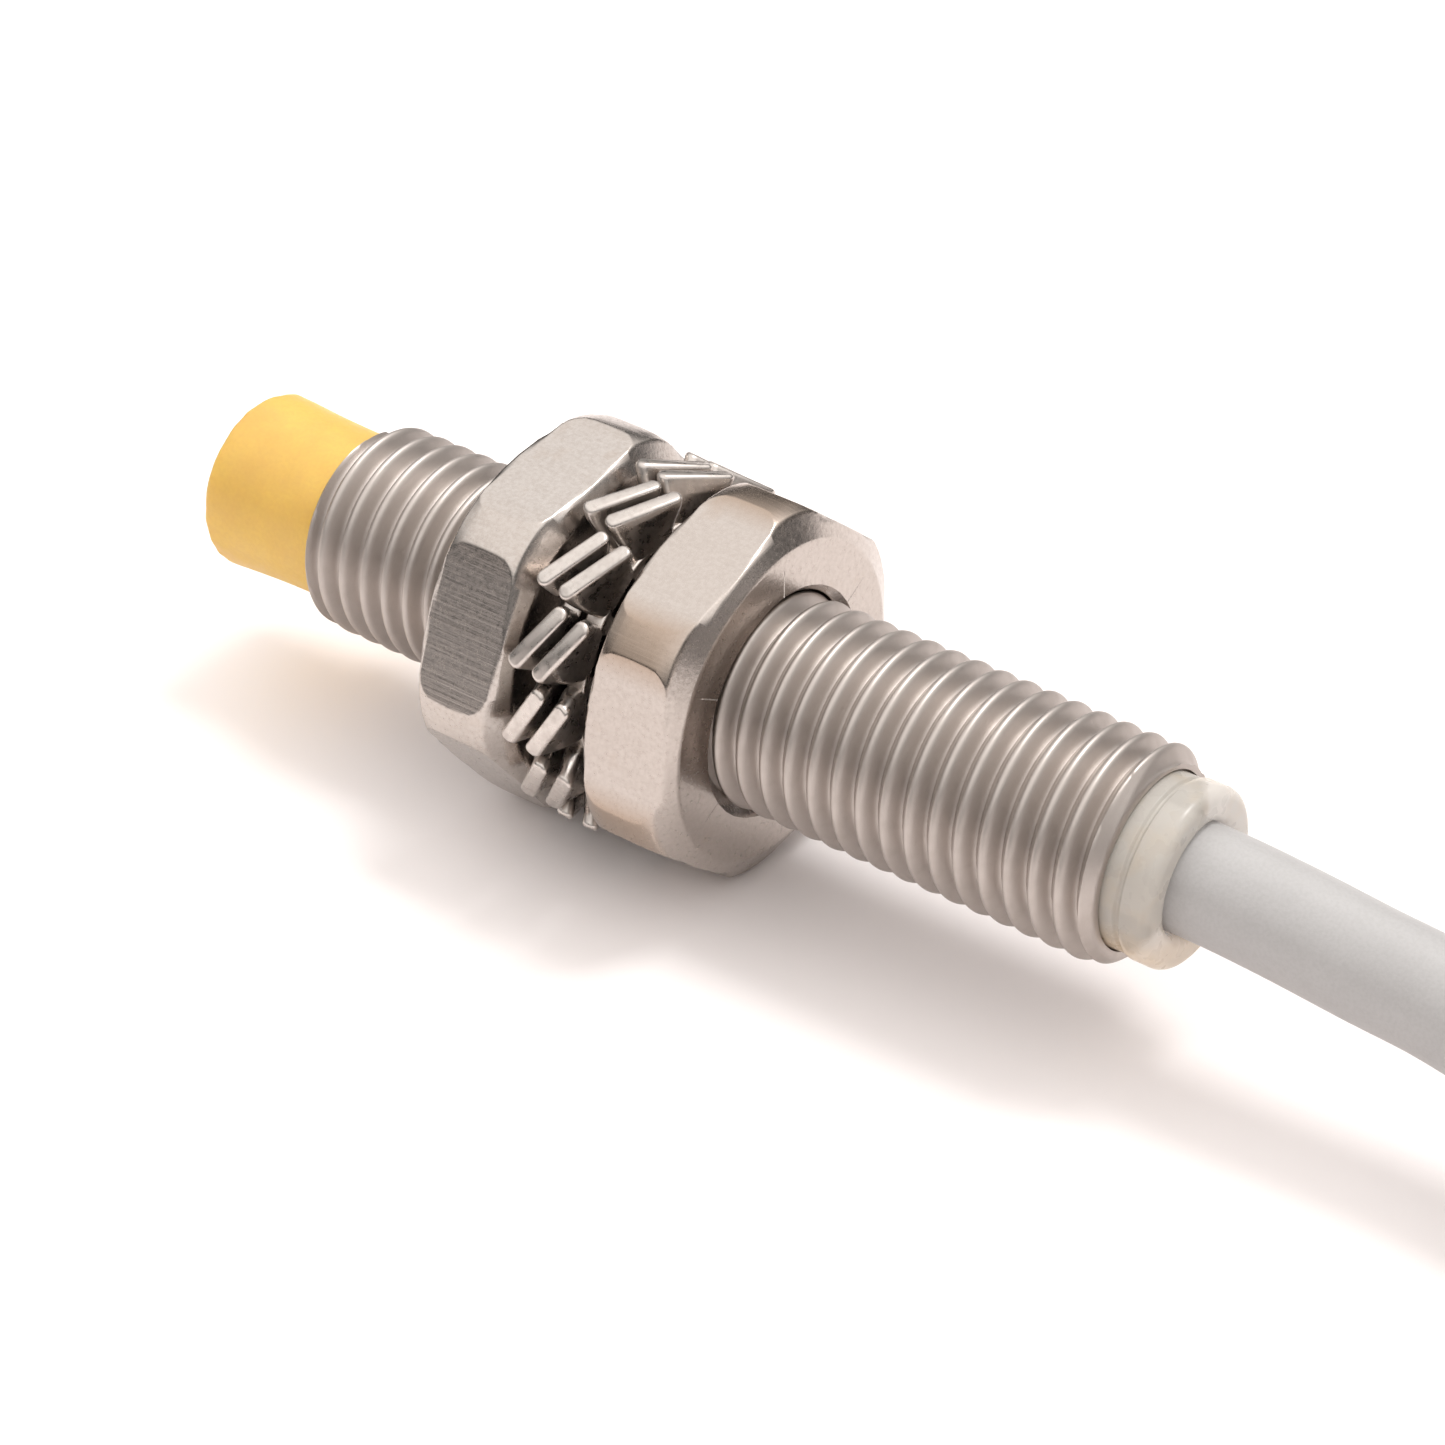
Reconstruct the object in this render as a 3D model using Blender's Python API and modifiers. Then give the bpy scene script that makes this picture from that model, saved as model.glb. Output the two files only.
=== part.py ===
"""Cylindrical inductive proximity sensor, M8 x 1, with a two metre cable.

The sensor's axis is the X axis, with the sensing face towards -X and the cable towards +X. The rear nut
stands on the table at z = 0. Lengths are in metres.

An angle called "turn" is measured about +X by the right-hand rule, from straight up (+Z) towards -Y.
"""

import math

import bmesh
import bpy
from mathutils import Matrix, Vector

MM = 0.001

# Driving dimensions
PITCH = 1.0 * MM
THREAD_RADIUS = 3.97 * MM
THREAD_ROOT = 3.40 * MM
THREAD_PHASE = 0.358 * MM
THREAD_SEGMENTS = 24
THREAD_CREST_HALF = 0.09 * MM
RUNNING_FIT = 0.09 * MM
FLANK_FIT = 0.07 * MM
FIT_GAP = 0.05 * MM
TOUCH_GAP = 0.3 * MM

BARREL_FRONT = -15.395 * MM
BARREL_REAR = 18.845 * MM
BARREL_BORE = 3.10 * MM
FRONT_FACE_RADIUS = 3.63 * MM
REAR_FACE_RADIUS = 3.52 * MM
RECESS_RADIUS = 3.26 * MM
RECESS_DEPTH = 0.5 * MM

CAP_FRONT = -20.725 * MM
CAP_RADIUS = 3.22 * MM
CAP_ROUNDING = 0.3 * MM
CAP_WALL = 0.40 * MM
CAP_PLUG_END = -10.9 * MM

NUT_THICKNESS = 4.0 * MM
NUT_FLATS = 13.0 * MM
NUT_CORNER_RADIUS = 7.15 * MM
NUT_FACE_RADIUS = 6.0 * MM
NUT_COUNTERSINK = 4.35 * MM
FRONT_NUT_X = -7.685 * MM
REAR_NUT_X = -0.385 * MM
FRONT_NUT_TURN = math.radians(-22.4)
REAR_NUT_TURN = math.radians(-10.4)

WASHER_BORE = 4.2 * MM
WASHER_ROOT = 5.2 * MM
WASHER_TIP = 6.95 * MM
WASHER_THICKNESS = 0.8 * MM
WASHER_TEETH = 14
WASHER_RISE = 0.73 * MM
TOOTH_HALF_WIDTH = 1.26 * MM
FRONT_WASHER_X = -2.605 * MM
REAR_WASHER_X = -1.545 * MM
FRONT_WASHER_TURN = math.radians(9.0)
REAR_WASHER_TURN = math.radians(10.3)

END_CAP_END = 20.725 * MM
END_CAP_PLUG = 14.9 * MM
END_CAP_RADIUS = 3.27 * MM
NECK_RADIUS = 3.18 * MM
GROOVE_X = 19.425 * MM
GROOVE_RADIUS = 3.08 * MM

CABLE_RADIUS = 2.0 * MM
CABLE_START = 16.1 * MM
CORE_RADIUS = 0.5 * MM
AXIS_HEIGHT = 7.13 * MM

BOARD_FRONT = -15.9 * MM
BOARD_REAR = 14.1 * MM
BOARD_WIDTH = 5.0 * MM
BOARD_THICKNESS = 0.8 * MM

# The hank: folded loops of cable, in two columns and five layers, gathered by a tie at the waist
HANK_CENTRE = Vector((81.5, 16.6, 0.0)) * MM
HANK_STRAIGHT = 50.0 * MM
HANK_FOLD = 12.2 * MM
HANK_COLUMN = 4.3 * MM
HANK_LAYERS = 5
HANK_GATHER = 9.8 * MM

TIE_WIDTH = 2.6 * MM
TIE_THICKNESS = 1.0 * MM
TIE_HEAD = Vector((4.4, 4.8, 3.0)) * MM


# Scene and materials

def clear_scene():
    for item in list(bpy.data.objects):
        bpy.data.objects.remove(item, do_unlink=True)
    for group in list(bpy.data.collections):
        bpy.data.collections.remove(group)


def new_collection(name):
    group = bpy.data.collections.new(name)
    bpy.context.scene.collection.children.link(group)
    return group


def material(name, colour, roughness, metallic=0.0):
    paint = bpy.data.materials.new(name)
    paint.use_nodes = True
    shader = paint.node_tree.nodes["Principled BSDF"]
    shader.inputs["Base Color"].default_value = (*colour, 1.0)
    shader.inputs["Roughness"].default_value = roughness
    shader.inputs["Metallic"].default_value = metallic
    return paint


clear_scene()
PARTS = new_collection("proximity_sensor")
CUTTERS = new_collection("cutters")

THREAD_STEEL = material("barrel_metal", (0.46, 0.42, 0.39), 0.3, 1.0)
NUT_STEEL = material("nut_metal", (0.62, 0.57, 0.52), 0.35, 1.0)
WASHER_STEEL = material("washer_metal", (0.6, 0.56, 0.53), 0.25, 1.0)
CAP_PLASTIC = material("cap_plastic", (0.85, 0.5, 0.1), 0.35)
END_PLASTIC = material("end_cap_plastic", (0.78, 0.7, 0.58), 0.3)
JACKET = material("cable_jacket", (0.5, 0.49, 0.47), 0.55)
FERRITE = material("ferrite", (0.05, 0.05, 0.055), 0.6)
BOBBIN_PLASTIC = material("bobbin_plastic", (0.75, 0.72, 0.62), 0.45)
COPPER = material("copper_wire", (0.72, 0.3, 0.12), 0.3, 1.0)
BOARD_GREEN = material("board", (0.02, 0.16, 0.06), 0.4)
CHIP_BLACK = material("chip", (0.02, 0.02, 0.022), 0.45)
RESISTOR_BLACK = material("resistor", (0.03, 0.03, 0.035), 0.35)
CAPACITOR_TAN = material("capacitor", (0.42, 0.27, 0.14), 0.4)
LED_CLEAR = material("led", (0.9, 0.75, 0.35), 0.2)
RESIN = material("potting_resin", (0.03, 0.03, 0.03), 0.35)
BROWN = material("core_brown", (0.16, 0.06, 0.025), 0.45)
BLUE = material("core_blue", (0.02, 0.1, 0.4), 0.45)
BLACK = material("core_black", (0.015, 0.015, 0.017), 0.45)
TINNED = material("tinned_copper", (0.7, 0.69, 0.67), 0.3, 1.0)
TIE_NYLON = material("tie_nylon", (0.8, 0.79, 0.75), 0.4)


# Making objects

def add_object(name, mesh, paint):
    """Link a mesh as one of the sensor's parts, shaded smooth across its shallow edges."""
    thing = bpy.data.objects.new(name, mesh)
    PARTS.objects.link(thing)
    mesh.shade_smooth()
    mesh.set_sharp_from_angle(angle=math.radians(35))
    if paint:
        mesh.materials.append(paint)
    return thing


def as_cutter(thing):
    """Move an object to the cutters, where it is drawn as wire and left out of the model."""
    PARTS.objects.unlink(thing)
    CUTTERS.objects.link(thing)
    thing.hide_render = True
    thing.display_type = "WIRE"
    return thing


def mesh_from(build):
    mesh = bpy.data.meshes.new("shape")
    build.normal_update()
    build.to_mesh(mesh)
    build.free()
    return mesh


def boolean(thing, other, operation="DIFFERENCE"):
    cut = thing.modifiers.new(operation.lower(), "BOOLEAN")
    cut.operation = operation
    cut.object = other
    cut.solver = "EXACT"


def lay_along_x(thing):
    """Turn an object made about its own Z so that its axis is the sensor's, at the axis height."""
    thing.rotation_euler = (0.0, math.radians(90), 0.0)
    thing.location = (0.0, 0.0, AXIS_HEIGHT)


def turned(name, outline, paint, steps=32, closed=True):
    """A turned piece: outline points are (radius, x), down the outer side from the high x end."""
    mesh = bpy.data.meshes.new(name)
    points = [(radius, 0.0, x) for radius, x in outline]
    count = len(points)
    edges = [(i, i + 1) for i in range(count - 1)]
    if closed:
        edges.append((count - 1, 0))
    mesh.from_pydata(points, edges, [])
    thing = add_object(name, mesh, paint)
    screw = thing.modifiers.new("turn", "SCREW")
    screw.steps = steps
    screw.render_steps = steps
    screw.use_merge_vertices = True
    screw.merge_threshold = 0.000001
    screw.use_smooth_shade = True
    lay_along_x(thing)
    return thing


def box(name, size, centre, paint, rounding=0.0):
    """A rectangular piece, its centre given from the sensor's axis."""
    build = bmesh.new()
    bmesh.ops.create_cube(build, size=1.0)
    bmesh.ops.scale(build, vec=Vector(size), verts=build.verts)
    thing = add_object(name, mesh_from(build), paint)
    thing.location = Vector(centre) + Vector((0.0, 0.0, AXIS_HEIGHT))
    if rounding:
        bevel = thing.modifiers.new("rounding", "BEVEL")
        bevel.width = rounding
        bevel.segments = 1
    return thing


def smooth_route(points, spacing):
    """Points at an even spacing along a Catmull-Rom curve through the given points."""
    padded = [points[0] * 2 - points[1], *points, points[-1] * 2 - points[-2]]
    fine = []
    for a, b, c, d in zip(padded, padded[1:], padded[2:], padded[3:]):
        for step in range(20):
            t = step / 20
            fine.append(0.5 * (2 * b + (c - a) * t + (2 * a - 5 * b + 4 * c - d) * t * t
                               + (3 * b - a - 3 * c + d) * t ** 3))
    fine.append(points[-1])
    route = [fine[0]]
    walked = 0.0
    for start, end in zip(fine, fine[1:]):
        walked += (end - start).length
        if walked >= spacing:
            route.append(end)
            walked = 0.0
    if (fine[-1] - route[-1]).length < spacing / 2:
        route.pop()
    route.append(fine[-1])
    return route


def tube(name, route, radius, paint, sides=2):
    """A round tube along a route, with filled ends."""
    curve = bpy.data.curves.new(name, "CURVE")
    curve.dimensions = "3D"
    curve.bevel_depth = radius
    curve.bevel_resolution = sides
    curve.use_fill_caps = True
    spline = curve.splines.new("POLY")
    spline.points.add(len(route) - 1)
    for point, place in zip(spline.points, route):
        point.co = (*place, 1.0)
    curve.materials.append(paint)
    thing = bpy.data.objects.new(name, curve)
    PARTS.objects.link(thing)
    return thing


# Threads

def thread_rod(crest, root, crest_half, start, end, at_least=lambda x: 0.0):
    """A solid rod along X with a right-hand thread, whose crests are crest_half wide each way.

    at_least(x) is a radius that the rod has everywhere at x, such as a countersink's.
    """
    profile = [(-crest_half, crest), (crest_half, crest), (PITCH / 2, root)]
    first_turn = math.floor((start - THREAD_PHASE) / PITCH) - 2
    last_turn = math.ceil((end - THREAD_PHASE) / PITCH) + 2
    rows = [(THREAD_PHASE + turn_number * PITCH + offset, radius)
            for turn_number in range(first_turn, last_turn) for offset, radius in profile]
    build = bmesh.new()
    columns = []
    for step in range(THREAD_SEGMENTS):
        turn = 2 * math.pi * step / THREAD_SEGMENTS
        column = []
        for x, radius in rows:
            along = x + PITCH * step / THREAD_SEGMENTS
            place = min(max(along, start), end)
            # past the rod's ends the thread has run down to its root, in the end's own plane
            reach = max(radius if place == along else root, at_least(place))
            column.append(build.verts.new((place, -reach * math.sin(turn), reach * math.cos(turn))))
        columns.append(column)
    # after a whole turn a row meets the same row one pitch on
    columns.append(columns[0][len(profile):])
    for here, there in zip(columns, columns[1:]):
        for a, b, c, d in zip(here, here[1:], there[1:], there):
            build.faces.new((a, d, c, b))
    bmesh.ops.remove_doubles(build, verts=build.verts, dist=0.0000002)
    loose = [vert for vert in build.verts if not vert.link_faces]
    bmesh.ops.delete(build, geom=loose, context="VERTS")
    rims = [edge for edge in build.edges if edge.is_boundary]
    bmesh.ops.holes_fill(build, edges=rims, sides=0)
    bmesh.ops.recalc_face_normals(build, faces=build.faces)
    return mesh_from(build)


def on_axis(thing):
    """Lift an object that was made about the X axis itself to the sensor's axis."""
    thing.location = (0.0, 0.0, AXIS_HEIGHT)
    return thing


def make_barrel():
    """The threaded tube, chamfered at both ends, with a recess for the end cap's neck."""
    rod = thread_rod(THREAD_RADIUS, THREAD_ROOT, THREAD_CREST_HALF, BARREL_FRONT - PITCH,
                     BARREL_REAR + PITCH)
    barrel = on_axis(add_object("barrel", rod, THREAD_STEEL))
    clear = THREAD_RADIUS + 0.1 * MM
    outline = [(BARREL_BORE, BARREL_REAR - RECESS_DEPTH), (RECESS_RADIUS, BARREL_REAR - RECESS_DEPTH),
               (RECESS_RADIUS, BARREL_REAR), (REAR_FACE_RADIUS, BARREL_REAR),
               (clear, BARREL_REAR - clear + REAR_FACE_RADIUS),
               (clear, BARREL_FRONT + clear - FRONT_FACE_RADIUS),
               (FRONT_FACE_RADIUS, BARREL_FRONT), (BARREL_BORE, BARREL_FRONT)]
    boolean(barrel, as_cutter(turned("barrel_blank", outline, None, steps=48)), "INTERSECT")


def make_nut(name, x, turn):
    """A hexagon nut with turned corners, 30 degree chamfers and a countersunk thread."""
    far = x + NUT_THICKNESS
    slope = math.tan(math.radians(30))
    edge = (NUT_CORNER_RADIUS - NUT_FACE_RADIUS) * slope

    build = bmesh.new()
    circumradius = NUT_FLATS / 2 / math.cos(math.radians(30))
    bmesh.ops.create_cone(build, segments=6, cap_ends=True, radius1=circumradius, radius2=circumradius,
                          depth=NUT_THICKNESS)
    # create_cone puts a corner at its +Y: a quarter turn about +Y then takes its +Z to +X
    bmesh.ops.rotate(build, matrix=Matrix.Rotation(math.radians(90), 3, "Y"), verts=build.verts)
    bmesh.ops.rotate(build, matrix=Matrix.Rotation(math.radians(90) + turn, 3, "X"), verts=build.verts)
    bmesh.ops.translate(build, vec=(x + NUT_THICKNESS / 2, 0.0, 0.0), verts=build.verts)
    nut = on_axis(add_object(name, mesh_from(build), NUT_STEEL))

    outline = [(0.0, far), (NUT_FACE_RADIUS, far), (NUT_CORNER_RADIUS, far - edge),
               (NUT_CORNER_RADIUS, x + edge), (NUT_FACE_RADIUS, x), (0.0, x)]
    boolean(nut, as_cutter(turned(name + "_blank", outline, None, steps=48, closed=False)), "INTERSECT")

    def countersinks(place):
        return NUT_COUNTERSINK - min(place - x, far - place)

    past = 0.3 * MM
    tapped = thread_rod(THREAD_RADIUS + RUNNING_FIT, THREAD_ROOT + RUNNING_FIT,
                        THREAD_CREST_HALF + FLANK_FIT, x - past, far + past, countersinks)
    boolean(nut, as_cutter(on_axis(add_object(name + "_thread", tapped, None))))


# Lock washers

def make_washer(name, x, turn):
    """An external tooth lock washer: a flat ring whose overlapping teeth are twisted like fan blades."""
    tooth_pitch = 2 * math.pi / WASHER_TEETH
    radii = [WASHER_BORE, WASHER_ROOT, (WASHER_ROOT + WASHER_TIP) / 2, WASHER_TIP]
    build = bmesh.new()

    def place(radius, across, side, tooth):
        """A point of a tooth: across runs from -1 to 1 over its width, side is -1 or 1 through the plate."""
        growth = max(radius - WASHER_ROOT, 0.0) / (WASHER_TIP - WASHER_ROOT)
        half_angle = tooth_pitch * 0.45 * (1 - growth) + TOOTH_HALF_WIDTH / WASHER_TIP * growth
        angle = turn + tooth * tooth_pitch + across * half_angle
        rise = -across * WASHER_RISE * growth
        thickness = WASHER_THICKNESS * (1 + 0.12 * growth)
        along = x + rise + side * thickness / 2
        return build.verts.new((along, -radius * math.sin(angle), radius * math.cos(angle)))

    grids = []
    for tooth in range(WASHER_TEETH):
        grid = {}
        for side in (-1, 1):
            grid[side] = [[place(radius, across, side, tooth) for across in (-1, 0, 1)] for radius in radii]
        grids.append(grid)

    def quad(a, b, c, d):
        build.faces.new((a, b, c, d))

    for tooth, grid in enumerate(grids):
        following = grids[(tooth + 1) % WASHER_TEETH]
        low, high = grid[-1], grid[1]
        for side in (-1, 1):
            for inner, outer in zip(grid[side], grid[side][1:]):
                for column in (0, 1):
                    quad(inner[column], inner[column + 1], outer[column + 1], outer[column])
            quad(grid[side][0][2], following[side][0][0], following[side][1][0], grid[side][1][2])
        for row in (0, -1):
            for column in (0, 1):
                quad(low[row][column], low[row][column + 1], high[row][column + 1], high[row][column])
        for row in (0, 1):
            quad(low[row][2], following[-1][row][0], following[1][row][0], high[row][2])
        for column in (0, 2):
            for row in (1, 2):
                quad(low[row][column], low[row + 1][column], high[row + 1][column], high[row][column])
    bmesh.ops.recalc_face_normals(build, faces=build.faces)
    on_axis(add_object(name, mesh_from(build), WASHER_STEEL))


# Front end: cap, core, coil

def make_cap():
    """The sensing cap: a cup with a rounded rim, its open end pushed into the barrel."""
    plug = BARREL_BORE - FIT_GAP
    hollow = plug - CAP_WALL
    shoulder = BARREL_FRONT - FIT_GAP
    outline = [(hollow, CAP_PLUG_END), (plug, CAP_PLUG_END), (plug, shoulder), (CAP_RADIUS, shoulder)]
    for step in range(4):
        angle = math.radians(30 * step)
        outline.append((CAP_RADIUS - CAP_ROUNDING + CAP_ROUNDING * math.cos(angle),
                        CAP_FRONT + CAP_ROUNDING - CAP_ROUNDING * math.sin(angle)))
    outline += [(0.0, CAP_FRONT), (0.0, CAP_FRONT + 0.8 * MM), (hollow, CAP_FRONT + 0.8 * MM)]
    turned("sensing_cap", outline, CAP_PLASTIC)


CORE_FRONT = CAP_FRONT + 0.9 * MM
CORE_BACK = CORE_FRONT + 3.0 * MM
CORE_WEB = CORE_FRONT + 1.9 * MM
LEAD_RADIUS = 0.14 * MM
LEAD_SPREAD = 1.5 * MM


def make_core_and_coil():
    """A pot core open towards the face, with the wound bobbin round its post and two wire holes."""
    post = 0.8 * MM
    groove = 2.15 * MM
    outer = 2.55 * MM
    outline = [(0.0, CORE_BACK), (outer, CORE_BACK), (outer, CORE_FRONT), (groove, CORE_FRONT),
               (groove, CORE_WEB), (post, CORE_WEB), (post, CORE_FRONT), (0.0, CORE_FRONT)]
    core = turned("ferrite_core", outline, FERRITE, steps=24, closed=False)
    for number, side in enumerate((-1, 1)):
        build = bmesh.new()
        bmesh.ops.create_cone(build, segments=12, cap_ends=True, radius1=0.3 * MM, radius2=0.3 * MM,
                              depth=2 * MM)
        hole = add_object(f"core_hole_{number}", mesh_from(build), None)
        lay_along_x(hole)
        hole.location = (CORE_BACK, side * LEAD_SPREAD, AXIS_HEIGHT)
        boolean(core, as_cutter(hole))

    inner = post + FIT_GAP
    tube_wall = inner + 0.15 * MM
    rim = groove - FIT_GAP
    front = CORE_FRONT + FIT_GAP
    back = CORE_WEB - FIT_GAP
    flange = 0.18 * MM
    turned("coil_bobbin", [(inner, back), (rim, back), (rim, back - flange), (tube_wall, back - flange),
                           (tube_wall, front + flange), (rim, front + flange), (rim, front), (inner, front)],
           BOBBIN_PLASTIC, steps=24)
    wound_back = back - flange - FIT_GAP
    wound_front = front + flange + FIT_GAP
    wound_inner = tube_wall + FIT_GAP
    wound_outer = rim - FIT_GAP
    turned("coil_winding", [(wound_inner, wound_back), (wound_outer, wound_back),
                            (wound_outer, wound_front), (wound_inner, wound_front)], COPPER, steps=24)
    pad_height = BOARD_THICKNESS / 2 + FIT_GAP + LEAD_RADIUS
    for name, side in (("coil_lead_start", -1), ("coil_lead_finish", 1)):
        route = smooth_route([
            Vector((CORE_WEB + FIT_GAP, side * LEAD_SPREAD, AXIS_HEIGHT)),
            Vector((CORE_BACK, side * LEAD_SPREAD, AXIS_HEIGHT)),
            Vector((BOARD_FRONT - 0.1 * MM, side * LEAD_SPREAD, AXIS_HEIGHT + pad_height)),
            Vector((BOARD_FRONT + 1.1 * MM, side * LEAD_SPREAD, AXIS_HEIGHT + pad_height)),
        ], 0.4 * MM)
        tube(name, route, LEAD_RADIUS, COPPER, sides=1)


# Circuit board and what is on it

BOARD_TOP = BOARD_THICKNESS / 2 + FIT_GAP

# name, x of the centre, y of the centre, length, width, height, paint
COMPONENTS = [
    ("tuning_capacitor", -14.3, 0.9, 1.6, 0.8, 0.8, CAPACITOR_TAN),
    ("sensitivity_resistor", -14.3, -0.9, 1.6, 0.8, 0.5, RESISTOR_BLACK),
    ("oscillator_chip", -11.4, 0.0, 3.6, 3.0, 1.1, CHIP_BLACK),
    ("timing_capacitor", -8.5, 0.9, 1.6, 0.8, 0.8, CAPACITOR_TAN),
    ("feedback_resistor", -8.5, -0.9, 1.6, 0.8, 0.5, RESISTOR_BLACK),
    ("voltage_regulator", -5.1, 0.0, 2.9, 1.6, 1.1, CHIP_BLACK),
    ("supply_capacitor", -1.7, 0.0, 2.0, 1.25, 1.2, CAPACITOR_TAN),
    ("output_transistor", 1.9, 0.0, 2.9, 1.6, 1.1, CHIP_BLACK),
    ("protection_diode", 5.3, 0.8, 1.7, 1.0, 0.9, CHIP_BLACK),
    ("led_resistor", 5.3, -0.9, 1.6, 0.8, 0.5, RESISTOR_BLACK),
    ("status_led", 8.5, 0.0, 1.6, 0.9, 0.7, LED_CLEAR),
]


def make_board():
    length = BOARD_REAR - BOARD_FRONT
    middle = (BOARD_REAR + BOARD_FRONT) / 2
    box("circuit_board", (length, BOARD_WIDTH, BOARD_THICKNESS), (middle, 0.0, 0.0), BOARD_GREEN)
    for name, x, y, long_side, short_side, height, paint in COMPONENTS:
        size = (long_side * MM, short_side * MM, height * MM)
        centre = (x * MM, y * MM, BOARD_TOP + height * MM / 2)
        box(name, size, centre, paint, rounding=0.08 * MM)


def make_potting():
    """The resin that fills the barrel round the board, open along the board and its components."""
    front = CAP_PLUG_END + 0.2 * MM
    rear = END_CAP_PLUG - 0.2 * MM
    radius = BARREL_BORE - FIT_GAP
    resin = turned("potting_resin", [(0.0, rear), (radius, rear), (radius, front), (0.0, front)], RESIN,
                   closed=False)
    through = rear - front + 2 * MM
    middle = (rear + front) / 2
    slot_height = BOARD_THICKNESS + 2 * FIT_GAP
    slot = box("potting_slot", (through, BOARD_WIDTH + 2 * FIT_GAP, slot_height), (middle, 0.0, 0.0), None)
    boolean(resin, as_cutter(slot))
    pocket_height = 1.9 * MM
    pocket = box("potting_pocket", (through, 3.6 * MM, pocket_height), (middle, 0.0, pocket_height / 2), None)
    boolean(resin, as_cutter(pocket))


# Rear end: end cap and the cable's cores

def make_end_cap():
    """The translucent end cap: a plug in the barrel, a groove, and a rounded collar round the cable."""
    plug = BARREL_BORE - FIT_GAP
    hole = CABLE_RADIUS + FIT_GAP
    shoulder = BARREL_REAR - RECESS_DEPTH + FIT_GAP
    half_groove = 0.1 * MM
    rounding = 0.4 * MM
    outline = [(hole, END_CAP_END)]
    for step in range(4):
        angle = math.radians(90 - 30 * step)
        outline.append((END_CAP_RADIUS - rounding + rounding * math.cos(angle),
                        END_CAP_END - rounding + rounding * math.sin(angle)))
    outline += [(END_CAP_RADIUS, GROOVE_X + 2 * half_groove), (GROOVE_RADIUS, GROOVE_X + half_groove),
                (GROOVE_RADIUS, GROOVE_X), (NECK_RADIUS, GROOVE_X - half_groove), (NECK_RADIUS, shoulder),
                (plug, shoulder), (plug, END_CAP_PLUG), (hole, END_CAP_PLUG)]
    turned("end_cap", outline, END_PLASTIC)


def make_inner_cores():
    """The three cores from the board's pads to the cable's end, inside the end cap."""
    height = BOARD_TOP + CORE_RADIUS
    for name, side, paint in (("core_brown", -1, BROWN), ("core_blue", 0, BLUE), ("core_black", 1, BLACK)):
        route = smooth_route([
            Vector((10.7 * MM, side * 1.15 * MM, AXIS_HEIGHT + height)),
            Vector((12.9 * MM, side * 1.15 * MM, AXIS_HEIGHT + height)),
            Vector((14.9 * MM, side * 1.15 * MM, AXIS_HEIGHT + height * 0.75)),
            Vector((CABLE_START - TOUCH_GAP, side * 1.1 * MM, AXIS_HEIGHT + height * 0.55)),
        ], 0.8 * MM)
        tube(name, route, CORE_RADIUS, paint)


# Cable, hank, tie and stripped end

def gather(x):
    """How far the tie pulls the hank's two sides in at x, from 0 at the folds to 1 at the waist."""
    reach = HANK_STRAIGHT / 2 + 4 * MM
    distance = min(abs(x - HANK_CENTRE.x) / reach, 1.0)
    return 0.5 + 0.5 * math.cos(math.pi * distance)


def hank_outline(offset):
    """Points round the hank, offset from the centreline of its inner column, anticlockwise from above."""
    radius = HANK_FOLD + offset
    half = HANK_STRAIGHT / 2
    points = []
    for side in (1, -1):
        for step in range(13):
            angle = math.radians(-90 + 15 * step)
            points.append((side * (half + radius * math.cos(angle)), side * radius * math.sin(angle)))
        for step in range(1, 10):
            points.append((side * half * (1 - step / 5), side * radius))
    pulled = []
    for x, y in points:
        pull = HANK_GATHER * gather(x + HANK_CENTRE.x)
        narrowed = y - math.copysign(min(pull, abs(y) * 0.9), y)
        pulled.append((x + HANK_CENTRE.x, narrowed + HANK_CENTRE.y))
    return pulled


def cable_route():
    """The cable's own route from inside the end cap down to the table and to the side of the hank."""
    return [Vector(point) * MM for point in (
        (CABLE_START / MM, 0.0, 7.13),
        (18.5, 0.0, 7.13),
        (20.8, 0.0, 7.13),
        (23.5, 0.0, 7.05),
        (26.5, 0.0, 6.80),
        (30.0, 0.0, 6.46),
        (33.5, -0.35, 5.98),
        (37.0, -1.10, 5.22),
        (40.5, -2.15, 4.20),
        (44.0, -3.05, 3.15),
        (47.0, -3.70, 2.45),
        (49.5, -3.95, 2.15),
    )]


def make_cable():
    tube("cable", smooth_route(cable_route(), 2 * CABLE_RADIUS * 0.6), CABLE_RADIUS, JACKET)


HANK_TOP = HANK_LAYERS * 2 * CABLE_RADIUS + 0.2 * MM


def make_hank():
    """The hank's outer shape, with a channel round the waist for the tie."""
    curve = bpy.data.curves.new("hank_outline", "CURVE")
    curve.dimensions = "2D"
    curve.fill_mode = "BOTH"
    curve.extrude = HANK_TOP / 2
    outline = hank_outline(HANK_COLUMN + CABLE_RADIUS)
    spline = curve.splines.new("POLY")
    spline.points.add(len(outline) - 1)
    spline.use_cyclic_u = True
    for point, (x, y) in zip(spline.points, outline):
        point.co = (x, y, 0.0, 1.0)
    flat = bpy.data.objects.new("hank_flat", curve)
    PARTS.objects.link(flat)
    flat.location = (0.0, 0.0, HANK_TOP / 2)
    bpy.context.view_layer.update()
    evaluated = flat.evaluated_get(bpy.context.evaluated_depsgraph_get())
    mesh = bpy.data.meshes.new_from_object(evaluated)
    build = bmesh.new()
    build.from_mesh(mesh)
    bmesh.ops.remove_doubles(build, verts=build.verts, dist=0.000001)
    bmesh.ops.recalc_face_normals(build, faces=build.faces)
    hank = add_object("cable_hank", mesh_from(build), JACKET)
    hank.matrix_world = flat.matrix_world
    bpy.data.objects.remove(flat)
    boolean(hank, as_cutter(tie_band("tie_channel", TIE_WIDTH + 2 * TOUCH_GAP, TOUCH_GAP, 6 * MM, None)))


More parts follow.
